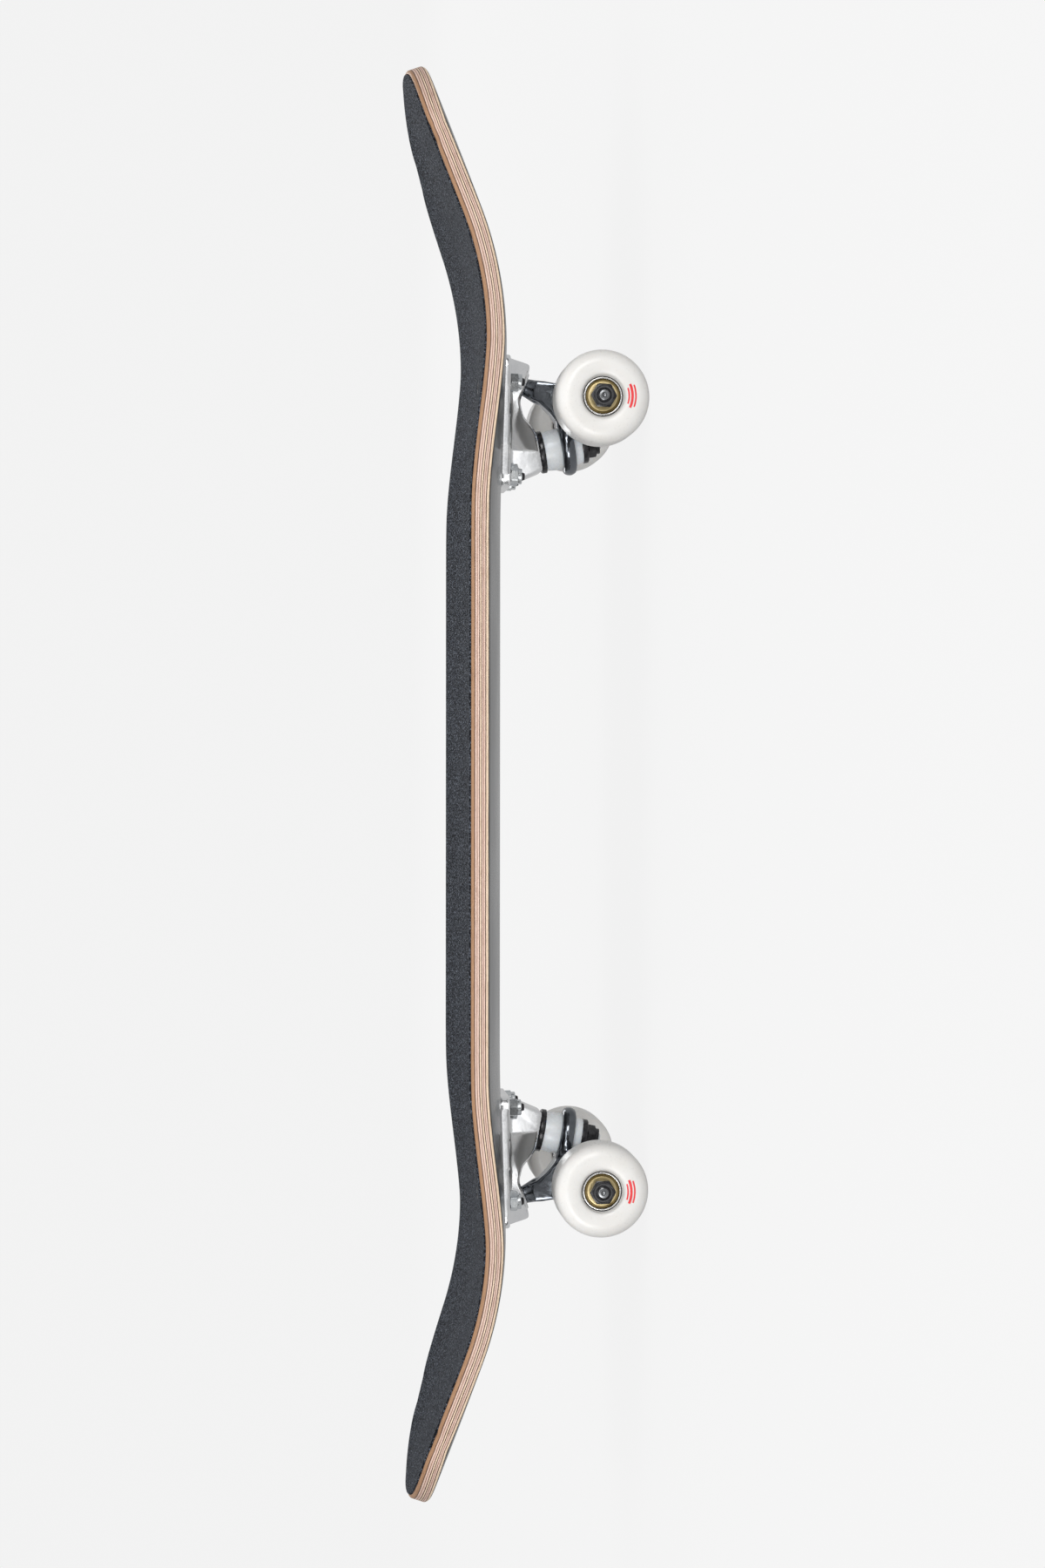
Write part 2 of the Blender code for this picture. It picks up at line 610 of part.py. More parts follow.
def wheel_mesh():
    """Urethane wheel turned round local Z, its middle at the origin."""
    w = WHEEL_HALF_WIDTH
    flat = 8.2 * MM
    lip_depth = w - flat
    lip_height = 7.5 * MM
    polygon = 1 / math.cos(math.pi / WHEEL_STEPS)         # so that the flats lie on the wheel's radius
    lip = [((WHEEL_RADIUS - lip_height * (1 - math.cos(math.radians(a)))) * polygon,
            flat + lip_depth * math.sin(math.radians(a))) for a in (0, 45, 90)]
    seat = BEARING_RADIUS + GAP
    ledge = SPACER_HALF_LENGTH - GAP
    half = [(SPACER_BORE_RADIUS, ledge), (seat, ledge), (seat, w - 1.2 * MM), (seat + 1.4 * MM, w)]
    half += reversed(lip)
    profile = half + [(r, -z) for r, z in reversed(half)]
    return turned_mesh("wheel", profile, WHEEL_STEPS, ring=True, phase=math.pi / WHEEL_STEPS)


def tube_mesh(name, outer, half_length, steps):
    """A tube on the axle: a bearing, or the spacer between two of them."""
    profile = tube_profile(outer, BEARING_BORE, half_length, -half_length)
    return turned_mesh(name, profile, steps, ring=True)


def axle_mesh():
    end = AXLE_HALF_LENGTH
    tip = AXLE_RADIUS - 0.6 * MM
    profile = [(0, end), (tip, end), (AXLE_RADIUS, end - 1 * MM),
               (AXLE_RADIUS, 1 * MM - end), (tip, -end), (0, -end)]
    return turned_mesh("axle", profile, 16)


# ---------------------------------------------------------------- assembly

def make_static_truck(name, truck, parts, meshes, materials, side_names):
    """The pieces of a truck that are fixed to the deck."""
    def place(node, kind, finish, matrix=Matrix.Identity(4)):
        return add_object(f"{name}_{node}", meshes[kind], materials[finish], parts, truck, matrix)

    place("baseplate", "baseplate", "aluminium")
    place("pivot_cup", "pivot_cup", "white_urethane", PIVOT_FRAME)
    place("kingpin", "kingpin", "zinc_steel", KINGPIN_FRAME)
    place("kingpin_nut", "kingpin_nut", "black_steel", shifted(KINGPIN_FRAME, KINGPIN_NUT[0]))
    place("board_cup_washer", "board_washer", "black_steel", shifted(KINGPIN_FRAME, GAP))
    place("road_cup_washer", "road_washer", "black_steel", shifted(KINGPIN_FRAME, ROAD_WASHER[0]))
    place("board_bushing", "board_bushing", "white_urethane", KINGPIN_FRAME)
    place("road_bushing", "road_bushing", "white_urethane", KINGPIN_FRAME)
    for outward, side, position in bolt_places():
        row = "outer" if outward == 1 else "inner"
        spot = f"{row}_{side_names[side]}"
        place(f"bolt_{spot}", f"{row}_bolt", "black_steel", Matrix.Translation(position))
        nut_frame = along(position + Vector((0, 0, bolt_nut_top(outward))), Vector((0, 0, -1)))
        place(f"locknut_{spot}", "bolt_nut", "zinc_steel", nut_frame)


def make_hanger(name, truck, parts, meshes, materials, side_names):
    """The hanger with its axle, and the wheels, under an empty on the steering axis."""
    steer_frame = along(STEER_CENTRE, STEER_AXIS)
    steer = add_empty(f"{name}_steer_axis", parts, truck, steer_frame)
    to_steer = steer_frame.inverted()

    def place(node, kind, finish, parent, matrix):
        return add_object(f"{name}_{node}", meshes[kind], materials[finish], parts, parent, matrix)

    place("hanger", "hanger", "aluminium", steer, to_steer)
    place("axle", "axle", "zinc_steel", steer, to_steer @ across(AXLE, 1))
    for side in (1, -1):
        hand = side_names[side]
        outward = to_steer @ across(AXLE, side)
        at_wheel = shifted(outward, WHEEL_Y)
        place(f"{hand}_spacer", "spacer", "zinc_steel", steer, at_wheel)
        place(f"{hand}_axle_nut", "axle_nut", "black_steel", steer, shifted(outward, AXLE_NUT[0]))
        spin = add_empty(f"{name}_{hand}_spin_axis", parts, steer, at_wheel)
        # One flat of the wheel faces the ground, square to it although the truck leans
        level = Matrix.Rotation(-side * TRUCK_TILT, 4, "Z")
        place(f"{hand}_wheel", "wheel", "white_urethane", spin, level)
        offset = SPACER_HALF_LENGTH + BEARING_WIDTH / 2
        for row, height in (("inner", -offset), ("outer", offset)):
            at_bearing = Matrix.Translation((0, 0, height))
            place(f"{hand}_{row}_bearing", "bearing", "bearing_steel", spin, at_bearing)


def shared_meshes():
    """One mesh for each kind of piece that repeats."""
    top, bottom = RING_FACES
    bolt_length = BOLT_NUT_HEIGHT + BOLT_STICK_OUT
    board_start = GAP + WASHER_PLATE + GAP
    board_end = top + RING_CUP_DEPTH - GAP
    board_radii = [11.2 * MM, 11.5 * MM, 11.6 * MM, 11.5 * MM]
    road_start = bottom - RING_CUP_DEPTH + GAP
    road_end = ROAD_WASHER[1] - WASHER_PLATE - GAP
    road_radii = [10.8 * MM, 10.5 * MM, 9.7 * MM]
    return {
        "baseplate": baseplate_mesh(),
        "pivot_cup": pivot_cup_mesh(),
        "hanger": hanger_mesh(),
        "kingpin": kingpin_mesh(),
        "kingpin_nut": hexagon_mesh("kingpin_nut", KINGPIN_HEAD_FLATS, KINGPIN_NUT[1] - KINGPIN_NUT[0],
                                    KINGPIN_RADIUS + GAP, NUT_COLLAR),
        "board_washer": cup_washer_mesh(BOARD_WASHER_RADIUS, WASHER_HEIGHT, True),
        "road_washer": cup_washer_mesh(ROAD_WASHER_RADIUS, ROAD_WASHER[1] - ROAD_WASHER[0], False),
        "board_bushing": bushing_mesh(board_start, board_end, board_radii),
        "road_bushing": bushing_mesh(road_start, road_end, road_radii),
        "axle": axle_mesh(),
        "axle_nut": hexagon_mesh("axle_nut", AXLE_NUT_FLATS, AXLE_NUT[1] - AXLE_NUT[0],
                                 AXLE_RADIUS + GAP, NUT_COLLAR),
        "spacer": tube_mesh("spacer", SPACER_RADIUS, SPACER_HALF_LENGTH - GAP, 14),
        "wheel": wheel_mesh(),
        "bearing": tube_mesh("bearing", BEARING_RADIUS, BEARING_WIDTH / 2, 18),
        "outer_bolt": turned_mesh("bolt", bolt_profile(0.0, bolt_nut_top(1) - bolt_length), 12),
        "inner_bolt": turned_mesh("bolt", bolt_profile(0.0, bolt_nut_top(-1) - bolt_length), 12),
        "bolt_nut": hexagon_mesh("bolt_nut", BOLT_NUT_FLATS, BOLT_NUT_HEIGHT, BOLT_RADIUS + GAP,
                                 BOLT_NUT_COLLAR),
    }


def make_materials():
    return {
        "maple": new_material("maple_ply", (0.72, 0.52, 0.36), 0.45),
        "grit": new_material("grip_tape", (0.055, 0.060, 0.070), 0.95),
        "aluminium": new_material("polished_aluminium", (0.70, 0.71, 0.72), 0.22, 1.0),
        "zinc_steel": new_material("zinc_plated_steel", (0.62, 0.64, 0.66), 0.30, 1.0),
        "black_steel": new_material("black_oxide_steel", (0.03, 0.03, 0.032), 0.42, 0.6),
        "bearing_steel": new_material("bearing_steel", (0.66, 0.60, 0.42), 0.28, 1.0),
        "white_urethane": new_material("white_urethane", (0.88, 0.87, 0.84), 0.35),
    }


def build():
    clear_scene()
    parts = new_collection("skateboard")
    cutters = new_collection("cutters")
    materials = make_materials()
    meshes = shared_meshes()
    frames = []
    for name, end in (("front", 1), ("rear", -1)):
        turn = 0.0 if end == 1 else math.pi
        place = Matrix.Translation((WHEELBASE_X + end * TRUCK_X, 0, TRUCK_Z))
        frame = place @ Matrix.Rotation(turn, 4, "Z") @ Matrix.Rotation(TRUCK_TILT, 4, "Y")
        truck = add_empty(f"{name}_truck", parts, matrix=frame)
        side_names = {end: "left", -end: "right"}
        make_static_truck(name, truck, parts, meshes, materials, side_names)
        make_hanger(name, truck, parts, meshes, materials, side_names)
        frames.append(frame)
    make_deck_parts(parts, cutters, materials, frames)
    bpy.context.view_layer.update()


build()
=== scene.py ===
"""Skateboard: the detailed surfaces, materials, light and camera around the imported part.

Metres, +Z up, +X towards the nose, +Y to the rider's left.  Every truck piece is built in its
truck's own frame, whose origin is on the deck's underside in the middle of the bolt pattern,
with local +X pointing out to the board's end and +Z up through the deck.
"""

import json
from math import asin, atan, atan2, copysign, cos, pi, radians, sin, sqrt, tan

import bmesh
import bpy
from mathutils import Matrix, Vector


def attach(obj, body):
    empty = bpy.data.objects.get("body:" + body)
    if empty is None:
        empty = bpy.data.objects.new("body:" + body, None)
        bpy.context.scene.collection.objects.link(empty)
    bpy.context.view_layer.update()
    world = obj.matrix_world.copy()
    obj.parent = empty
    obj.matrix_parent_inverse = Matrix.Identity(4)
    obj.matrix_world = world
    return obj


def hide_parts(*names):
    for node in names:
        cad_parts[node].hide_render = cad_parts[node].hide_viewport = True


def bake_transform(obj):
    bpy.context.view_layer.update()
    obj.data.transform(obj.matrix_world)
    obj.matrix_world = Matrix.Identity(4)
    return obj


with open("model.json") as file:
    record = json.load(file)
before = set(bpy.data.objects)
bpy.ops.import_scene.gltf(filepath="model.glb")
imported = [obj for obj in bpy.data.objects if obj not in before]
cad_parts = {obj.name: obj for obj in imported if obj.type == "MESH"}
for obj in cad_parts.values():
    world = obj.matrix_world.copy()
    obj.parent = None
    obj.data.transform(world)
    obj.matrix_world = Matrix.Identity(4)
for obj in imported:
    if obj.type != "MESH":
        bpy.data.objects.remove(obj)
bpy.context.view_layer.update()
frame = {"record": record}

MM = 0.001
INCH = 0.0254

# Deck: outline, section and side view, as the CAD deck has them
HALF_WIDTH = 8.25 * INCH / 2
NOSE_TIP = 416.2 * MM
TAIL_TIP = 409.4 * MM
STRAIGHT = 150 * MM
END_NARROWING = 0.07
DECK_THICKNESS = 10.2 * MM
CAMBER_START = 140 * MM
CAMBER_END = 180 * MM
CAMBER_SLOPE = 0.033
NOSE_KICK = {"low": 251 * MM, "radius": 215 * MM, "angle": radians(20.0)}
TAIL_KICK = {"low": 248 * MM, "radius": 205 * MM, "angle": radians(19.2)}
CONCAVE_MIDDLE = 11.7 * MM
CONCAVE_KICK = 5.4 * MM
CONCAVE_FADE = (158 * MM, 255 * MM)
FLAT_SHARE = 0.28
CONCAVE_POWER = 1.7
STRAIGHT_SHARE = 6 / 17
OUTLINE_SPREAD = 0.909

# Deck: finish of the surface
COLUMNS = 238
ROWS = 60
LOWER_EDGE_RADIUS = 2.2 * MM
UPPER_EDGE_RADIUS = 1.6 * MM
GRIP_INSET = 1.5 * MM
GRIP_GAP = 0.03 * MM
GRIP_THICKNESS = 1.15 * MM

# Truck
HOLE_SPACING_X = 2.125 * INCH
HOLE_SPACING_Y = 1.625 * INCH
TRUCK_TILT = atan(CAMBER_SLOPE)
SEAT = Vector((-11.2, 0, -23.4)) * MM
KINGPIN_ANGLE = radians(12.4)
KINGPIN_RADIUS = 3 / 8 * INCH / 2
PIVOT_BALL = Vector((27.7, 0, -10.2)) * MM
PIVOT_ANGLE = radians(18.0)
PIVOT_BALL_RADIUS = 4.8 * MM
GUSSET_LEAN = radians(32)
AXLE = Vector((12.55, 0, -49.7)) * MM
AXLE_RADIUS = 5 / 16 * INCH / 2
AXLE_HALF_LENGTH = 8.25 * INCH / 2
HANGER_HALF_WIDTH = 72 * MM
PLATE_INNER = -33.7 * MM
PLATE_OUTER = 42.3 * MM
PLATE_HALF_WIDTH = 27.5 * MM
PLATE_FACE = -5.2 * MM
PLATE_CORNER = 7 * MM
RING_FACES = (12.7 * MM, 20.5 * MM)
RING_RADIUS = 16.2 * MM

# Kingpin stack: distances along the kingpin from the plate's seat
KINGPIN_FLATS = 14.29 * MM
KINGPIN_NUT_START = 28.5 * MM
CUP_WASHER_HEIGHT = 3.2 * MM
BOARD_WASHER_START = 0.1 * MM
ROAD_WASHER_START = 25.2 * MM
BUSHING_SEAT = 2.6 * MM

# Wheels
WHEEL_Y = 85 * MM
WHEEL_RADIUS = 26 * MM
WHEEL_HALF_WIDTH = 15.5 * MM
BEARING_CENTRE = 8.5 * MM
BEARING_HALF_WIDTH = 3.5 * MM
AXLE_NUT_START = 98 * MM
SPEED_WASHER_STARTS = {"inner": 72.08 * MM, "outer": 97.08 * MM}

KINGPIN_DOWN = Vector((sin(KINGPIN_ANGLE), 0, -cos(KINGPIN_ANGLE)))
PIVOT_DOWN = Vector((-sin(PIVOT_ANGLE), 0, -cos(PIVOT_ANGLE)))
SIDE_VIEW = Matrix.Rotation(pi / 2, 4, "X")


# ---------------- frames from the record

JOINTS = {joint["name"]: joint for joint in frame["record"]["behaviour"]["joints"]}
MOUNTS = {mount["name"]: mount for mount in frame["record"]["mounts"]}
UNDERSIDE_Z = MOUNTS["deck_underside"]["pos_m"][2]


def truck_frame(name):
    """The truck's frame, worked out from where its wheels turn."""
    left = Vector(JOINTS[f"{name}_left_spin"]["pos_m"])
    right = Vector(JOINTS[f"{name}_right_spin"]["pos_m"])
    turn = 0.0 if name == "front" else pi
    rotation = Matrix.Rotation(turn, 4, "Z") @ Matrix.Rotation(TRUCK_TILT, 4, "Y")
    return Matrix.Translation((left + right) / 2 - rotation @ AXLE) @ rotation


TRUCKS = {"front": truck_frame("front"), "rear": truck_frame("rear")}
WHEELBASE_X = (TRUCKS["front"].translation.x + TRUCKS["rear"].translation.x) / 2


def lifted(height):
    """A shift along local Z."""
    return Matrix.Translation((0, 0, height))


def along(origin, direction):
    """A frame at origin whose local +Z points along direction."""
    return Matrix.Translation(origin) @ direction.to_track_quat("Z", "Y").to_matrix().to_4x4()


def across(origin, side):
    """A frame at origin whose local +Z points to local +Y (side 1) or -Y (side -1)."""
    return Matrix.Translation(origin) @ Matrix.Rotation(-side * pi / 2, 4, "X")


KINGPIN_FRAME = along(SEAT, KINGPIN_DOWN)
PIVOT_FRAME = along(PIVOT_BALL, PIVOT_DOWN)


# ---------------- node helpers

def shader_graph(name):
    """A new material, with its node tree and its Principled shader."""
    material = bpy.data.materials.new(name)
    material.use_nodes = True
    tree = material.node_tree
    return material, tree, tree.nodes["Principled BSDF"]


def fill(tree, socket, value):
    """Link an output to an input socket, or set the socket to a value."""
    if isinstance(value, bpy.types.NodeSocket):
        tree.links.new(value, socket)
    else:
        socket.default_value = value


def connect(tree, node, **sockets):
    """Set or link a node's input sockets by name."""
    for key, value in sockets.items():
        fill(tree, node.inputs[key.replace("_", " ")], value)


def add_node(tree, kind, settings=None, **sockets):
    """A node with its settings, and its input sockets set or linked by name."""
    node = tree.nodes.new(kind)
    for key, value in (settings or {}).items():
        setattr(node, key, value)
    connect(tree, node, **sockets)
    return node


def arithmetic(tree, operation, *values):
    """The output of a Math node whose inputs are set or linked in order."""
    node = add_node(tree, "ShaderNodeMath", {"operation": operation})
    for socket, value in zip(node.inputs, values):
        fill(tree, socket, value)
    return node.outputs[0]


def object_position(tree, stretch=(1, 1, 1)):
    """Object coordinates in metres, stretched for grain."""
    place = add_node(tree, "ShaderNodeTexCoord")
    mapping = add_node(tree, "ShaderNodeMapping", Vector=place.outputs["Object"], Scale=stretch)
    return mapping.outputs["Vector"]


def noise(tree, vector, scale, detail=3.0, roughness=0.55):
    node = add_node(tree, "ShaderNodeTexNoise", Vector=vector, Scale=scale, Detail=detail,
                    Roughness=roughness)
    return node.outputs["Fac"]


def ramp(tree, factor, stops):
    """A colour ramp through (position, grey or colour) stops."""
    node = add_node(tree, "ShaderNodeValToRGB", Fac=factor)
    band = node.color_ramp
    while len(band.elements) < len(stops):
        band.elements.new(0.5)
    for element, (position, colour) in zip(band.elements, stops):
        element.position = position
        grey = isinstance(colour, (int, float))
        element.color = (colour, colour, colour, 1) if grey else (*colour, 1)
    return node.outputs["Color"]


MIX_SOCKETS = (0, 6, 7)              # a Mix node's factor and its two colours


def blend_colours(tree, factor, first, second, mode="MIX"):
    node = add_node(tree, "ShaderNodeMix", {"data_type": "RGBA", "blend_type": mode})
    for place, value in zip(MIX_SOCKETS, (factor, first, second)):
        fill(tree, node.inputs[place], (*value, 1) if isinstance(value, tuple) else value)
    return node.outputs[2]


def bump(tree, shader, height, distance):
    node = add_node(tree, "ShaderNodeBump", Height=height, Distance=distance, Strength=1.0)
    connect(tree, shader, Normal=node.outputs["Normal"])


# ---------------- materials

def grip_material():
    """Coarse black grit: each grain a little lighter or darker, with a few that glint."""
    material, tree, shader = shader_graph("grip_tape_grit")
    place = object_position(tree)
    grit = noise(tree, place, 1050, 2.0, 0.8)
    grains = ramp(tree, grit, [(0.38, (0.003, 0.0035, 0.005)), (0.52, (0.011, 0.013, 0.018)),
                               (0.64, (0.12, 0.137, 0.17))])
    patches = ramp(tree, noise(tree, place, 40), [(0.3, 0.88), (0.7, 1.0)])
    connect(tree, shader, Base_Color=blend_colours(tree, 1.0, grains, patches, "MULTIPLY"),
            Roughness=ramp(tree, grit, [(0.45, 0.95), (0.75, 0.6)]), Specular_IOR_Level=0.15)
    bump(tree, shader, grit, 0.45 * MM)
    return material


CREAM = (0.86, 0.69, 0.52)
PINKISH = (0.72, 0.54, 0.46)
TAN = (0.36, 0.20, 0.105)
DARK_GLUE = (0.085, 0.035, 0.02)
FAINT_GLUE = (0.34, 0.20, 0.15)
# Bottom to top: where each ply ends, its tone and the glue line above it
PLIES = (
    (0.175, CREAM, DARK_GLUE),
    (0.29, PINKISH, FAINT_GLUE),
    (0.395, PINKISH, DARK_GLUE),
    (0.51, CREAM, DARK_GLUE),
    (0.64, PINKISH, FAINT_GLUE),
    (0.77, PINKISH, DARK_GLUE),
    (1.0, TAN, None))
GLUE_HALF = 0.020                    # half a glue line, as a share of the edge's height
GLUE_FADE = 0.014                    # and how far it fades into the plies
LACQUER_WRAP = 0.035                 # share of the height that the underside's lacquer covers
LACQUER_FADE = 0.012                 # and how quickly it gives way to wood
GRAIN_WANDER = 0.035                 # how far the layers wander, as a share of the height


def ply_stops():
    """Colour stops up the edge of the deck: lacquer, then the plies with their glue lines."""
    stops = [(0.0, (0.035, 0.032, 0.03)), (LACQUER_WRAP, (0.05, 0.044, 0.04)),
             (LACQUER_WRAP + LACQUER_FADE, PLIES[0][1])]
    for i, (top, tone, glue) in enumerate(PLIES):
        if i:
            stops.append((PLIES[i - 1][0] + GLUE_HALF + GLUE_FADE, tone))
        if glue:
            stops.append((top - GLUE_HALF - GLUE_FADE, tone))
            stops.append((top - GLUE_HALF, glue))
            stops.append((top + GLUE_HALF, glue))
    return [(place + GRAIN_WANDER / 2, colour) for place, colour in stops]


def ply_edge_material():
    """Seven maple plies with dark glue lines, read from the height through the deck."""
    material, tree, shader = shader_graph("maple_ply_edge")
    layout = add_node(tree, "ShaderNodeUVMap", {"uv_map": "ply"}).outputs["UV"]

    def rim_noise(along_rim, through, detail, roughness):
        place = add_node(tree, "ShaderNodeMapping", Vector=layout, Scale=(along_rim, through, 1))
        return noise(tree, place.outputs["Vector"], 1.0, detail, roughness)

    height = add_node(tree, "ShaderNodeSeparateXYZ", Vector=layout).outputs["Y"]
    shifted = arithmetic(tree, "MULTIPLY_ADD", rim_noise(30, 3, 4.0, 0.55), GRAIN_WANDER, height)
    layers = ramp(tree, shifted, ply_stops())
    fibres = rim_noise(110, 42, 5.0, 0.65)
    tint = ramp(tree, fibres, [(0.34, (0.50, 0.40, 0.34)), (0.48, (0.93, 0.90, 0.87)), (0.64, 1.0)])
    streaked = blend_colours(tree, 0.85, layers, tint, "MULTIPLY")
    flecks = ramp(tree, rim_noise(520, 70, 2.0, 0.6), [(0.32, (0.40, 0.29, 0.22)), (0.42, 1.0)])
    connect(tree, shader, Base_Color=blend_colours(tree, 0.6, streaked, flecks, "MULTIPLY"),
            Roughness=ramp(tree, fibres, [(0.3, 0.58), (0.7, 0.42)]))
    bump(tree, shader, fibres, 0.08 * MM)
    return material


def veneer_material():
    """The face ply that shows as a rim round the grip tape: stained, with long grain."""
    material, tree, shader = shader_graph("maple_face_veneer")
    grain = noise(tree, object_position(tree, (40, 900, 900)), 1.0, 5.0, 0.6)
    colour = ramp(tree, grain, [(0.3, (0.26, 0.13, 0.065)), (0.5, (0.44, 0.25, 0.14)),
                                (0.7, (0.56, 0.36, 0.22))])
    connect(tree, shader, Base_Color=colour, Roughness=0.5)
    bump(tree, shader, grain, 0.05 * MM)
    return material


def lacquer_material():
    """The dark glossy underside: grain shows faintly through the lacquer."""
    material, tree, shader = shader_graph("dark_lacquer")
    grain = noise(tree, object_position(tree, (25, 420, 420)), 1.0, 6.0, 0.6)
    colour = ramp(tree, grain, [(0.3, (0.022, 0.023, 0.026)), (0.7, (0.050, 0.051, 0.055))])
    smears = noise(tree, object_position(tree, (12, 30, 30)), 1.0, 4.0)
    connect(tree, shader, Base_Color=colour, Roughness=ramp(tree, smears, [(0.3, 0.24), (0.7, 0.38)]),
            Coat_Weight=0.5, Coat_Roughness=0.12)
    bump(tree, shader, grain, 0.02 * MM)
    return material


def mottled_material(name, tone, colours, skin, gloss, depth, relief=None, **values):
    """A material whose colour follows one noise, and its gloss and relief another.

    tone, skin and relief are a noise's scale, detail and roughness; colours and gloss are ramp stops.
    """
    material, tree, shader = shader_graph(name)
    place = object_position(tree)
    marks = noise(tree, place, *skin)
    connect(tree, shader, Base_Color=ramp(tree, noise(tree, place, *tone), colours),
            Roughness=ramp(tree, marks, gloss), **values)
    bump(tree, shader, noise(tree, place, *relief) if relief else marks, depth)
    return material


def metal_material(name, dark, light, roughness, wave=0.0, grain_scale=900):
    """Metal with soft tone patches, fine polishing marks and an optional cast waviness."""
    low, high = roughness
    return mottled_material(name, (90, 4.0), [(0.3, dark), (0.7, light)],
                            (grain_scale, 3.0, 0.6), [(0.3, low), (0.75, high)],
                            wave or 0.01 * MM, (130, 2.0) if wave else None, Metallic=1.0)


def black_oxide_material():
    """Blackened steel, rubbed a little brighter in places."""
    rubbed = (420, 4.0, 0.65)
    return mottled_material("black_oxide_steel", rubbed,
                            [(0.4, (0.010, 0.010, 0.012)), (0.75, (0.055, 0.055, 0.058))],
                            rubbed, [(0.3, 0.24), (0.75, 0.13)], 0.02 * MM, (2200, 2.0), Metallic=0.3)


def urethane_material(name, colour, warm, roughness, glow, depth):
    """Cast urethane: milky, with a barely uneven tone and a satin skin."""
    return mottled_material(name, (55,), [(0.3, warm), (0.65, colour)],
                            (700, 3.0, 0.6), [(0.3, roughness - 0.05), (0.7, roughness + 0.07)], 0.012 * MM,
                            Subsurface_Weight=glow, Subsurface_Scale=depth,
                            Subsurface_Radius=(1.0, 0.85, 0.7))


def plain_material(name, dark, light, roughness):
    """A non-metal with a fine mottle."""
    material, tree, shader = shader_graph(name)
    mottle = noise(tree, object_position(tree), 600)
    connect(tree, shader, Base_Color=ramp(tree, mottle, [(0.3, dark), (0.7, light)]), Roughness=roughness)
    bump(tree, shader, mottle, 0.01 * MM)
    return material


MATERIALS = {
    "grip": grip_material(),
    "ply": ply_edge_material(),
    "veneer": veneer_material(),
    "lacquer": lacquer_material(),
    "plate": metal_material("polished_aluminium", (0.82, 0.83, 0.85), (0.93, 0.935, 0.94),
                            (0.06, 0.14), wave=0.03 * MM),
    # Painted shade: the hanger is the same polished aluminium as the plate, its colour darkened to the dark
    # tone its reflections give it.
    "hanger": metal_material("polished_aluminium_painted_shade", (0.12, 0.13, 0.145), (0.21, 0.225, 0.245),
                             (0.09, 0.18), wave=0.09 * MM),
    "zinc": metal_material("zinc_plated_steel", (0.50, 0.53, 0.56), (0.82, 0.84, 0.84), (0.07, 0.16)),
    "steel_end": metal_material("cut_steel", (0.16, 0.165, 0.17), (0.34, 0.35, 0.36), (0.22, 0.38)),
    "silver": metal_material("bearing_race_steel", (0.80, 0.79, 0.77), (0.92, 0.91, 0.89), (0.20, 0.34)),
    "gold": metal_material("gold_bearing_shield", (0.50, 0.40, 0.20), (0.70, 0.57, 0.32), (0.28, 0.44),
                           grain_scale=1600),
    # Painted shade: the shield's recessed step gets a darker gold, standing in for the shade in the groove.
    "painted_shade_groove": metal_material("shield_groove_painted_shade", (0.10, 0.072, 0.025), (0.24, 0.18, 0.08), (0.3, 0.5)),
    "black": black_oxide_material(),
    "wheel": urethane_material("white_wheel_urethane", (0.735, 0.725, 0.705), (0.70, 0.687, 0.662),
                               0.30, 0.15, 3 * MM),
    "bushing": urethane_material("milky_bushing_urethane", (0.84, 0.875, 0.90), (0.80, 0.83, 0.85),
                                 0.26, 0.35, 4 * MM),
    "cup": plain_material("pivot_cup_urethane", (0.70, 0.71, 0.72), (0.80, 0.81, 0.82), 0.4),
    "nylon": plain_material("black_nylon_insert", (0.02, 0.02, 0.022), (0.05, 0.05, 0.052), 0.5),
    "pale_nylon": plain_material("pale_nylon_insert", (0.55, 0.56, 0.57), (0.68, 0.69, 0.70), 0.45),
    "red": plain_material("red_wheel_print", (0.66, 0.020, 0.028), (0.78, 0.035, 0.040), 0.34),
}


# ---------------- mesh helpers

def in_scene(name, data):
    """A new object in the scene."""
    obj = bpy.data.objects.new(name, data)
    bpy.context.scene.collection.objects.link(obj)
    return obj


def new_piece(name, kind, body, nodes, matrix=Matrix.Identity(4)):
    """Place a piece of a kind, tied to the CAD nodes it replaces and to its body, if one is given."""
    mesh, materials, slot = kind
    obj = in_scene(name, mesh)
    obj.matrix_world = matrix
    if not mesh.materials:
        for key in materials:
            mesh.materials.append(MATERIALS[key])
    if body:
        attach(obj, body)
    if nodes:
        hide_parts(*nodes)
    return obj


def shade(mesh, angle=32):
    mesh.shade_smooth()
    mesh.set_sharp_from_angle(angle=radians(angle))


def in_mm(*points):
    """Points given in millimetres, turned into metres."""
    return [tuple(value * MM for value in point) for point in points]


def rounded(points, steps=4):
    """A polyline of (x, y) or (x, y, corner radius) points with its marked corners rounded."""
    result = []
    count = len(points)
    for i, point in enumerate(points):
        corner = Vector(point[:2])
        radius = point[2] if len(point) > 2 else 0.0
        if not radius:
            result.append(tuple(corner))
            continue
        before = Vector(points[i - 1][:2]) - corner
        after = Vector(points[(i + 1) % count][:2]) - corner
        half = before.angle(after) / 2
        reach = min(radius / tan(half), before.length * 0.49, after.length * 0.49)
        start, end = corner + before.normalized() * reach, corner + after.normalized() * reach
        for k in range(steps + 1):
            t = k / steps
            result.append(tuple((1 - t) ** 2 * start + 2 * t * (1 - t) * corner + t * t * end))
    return result


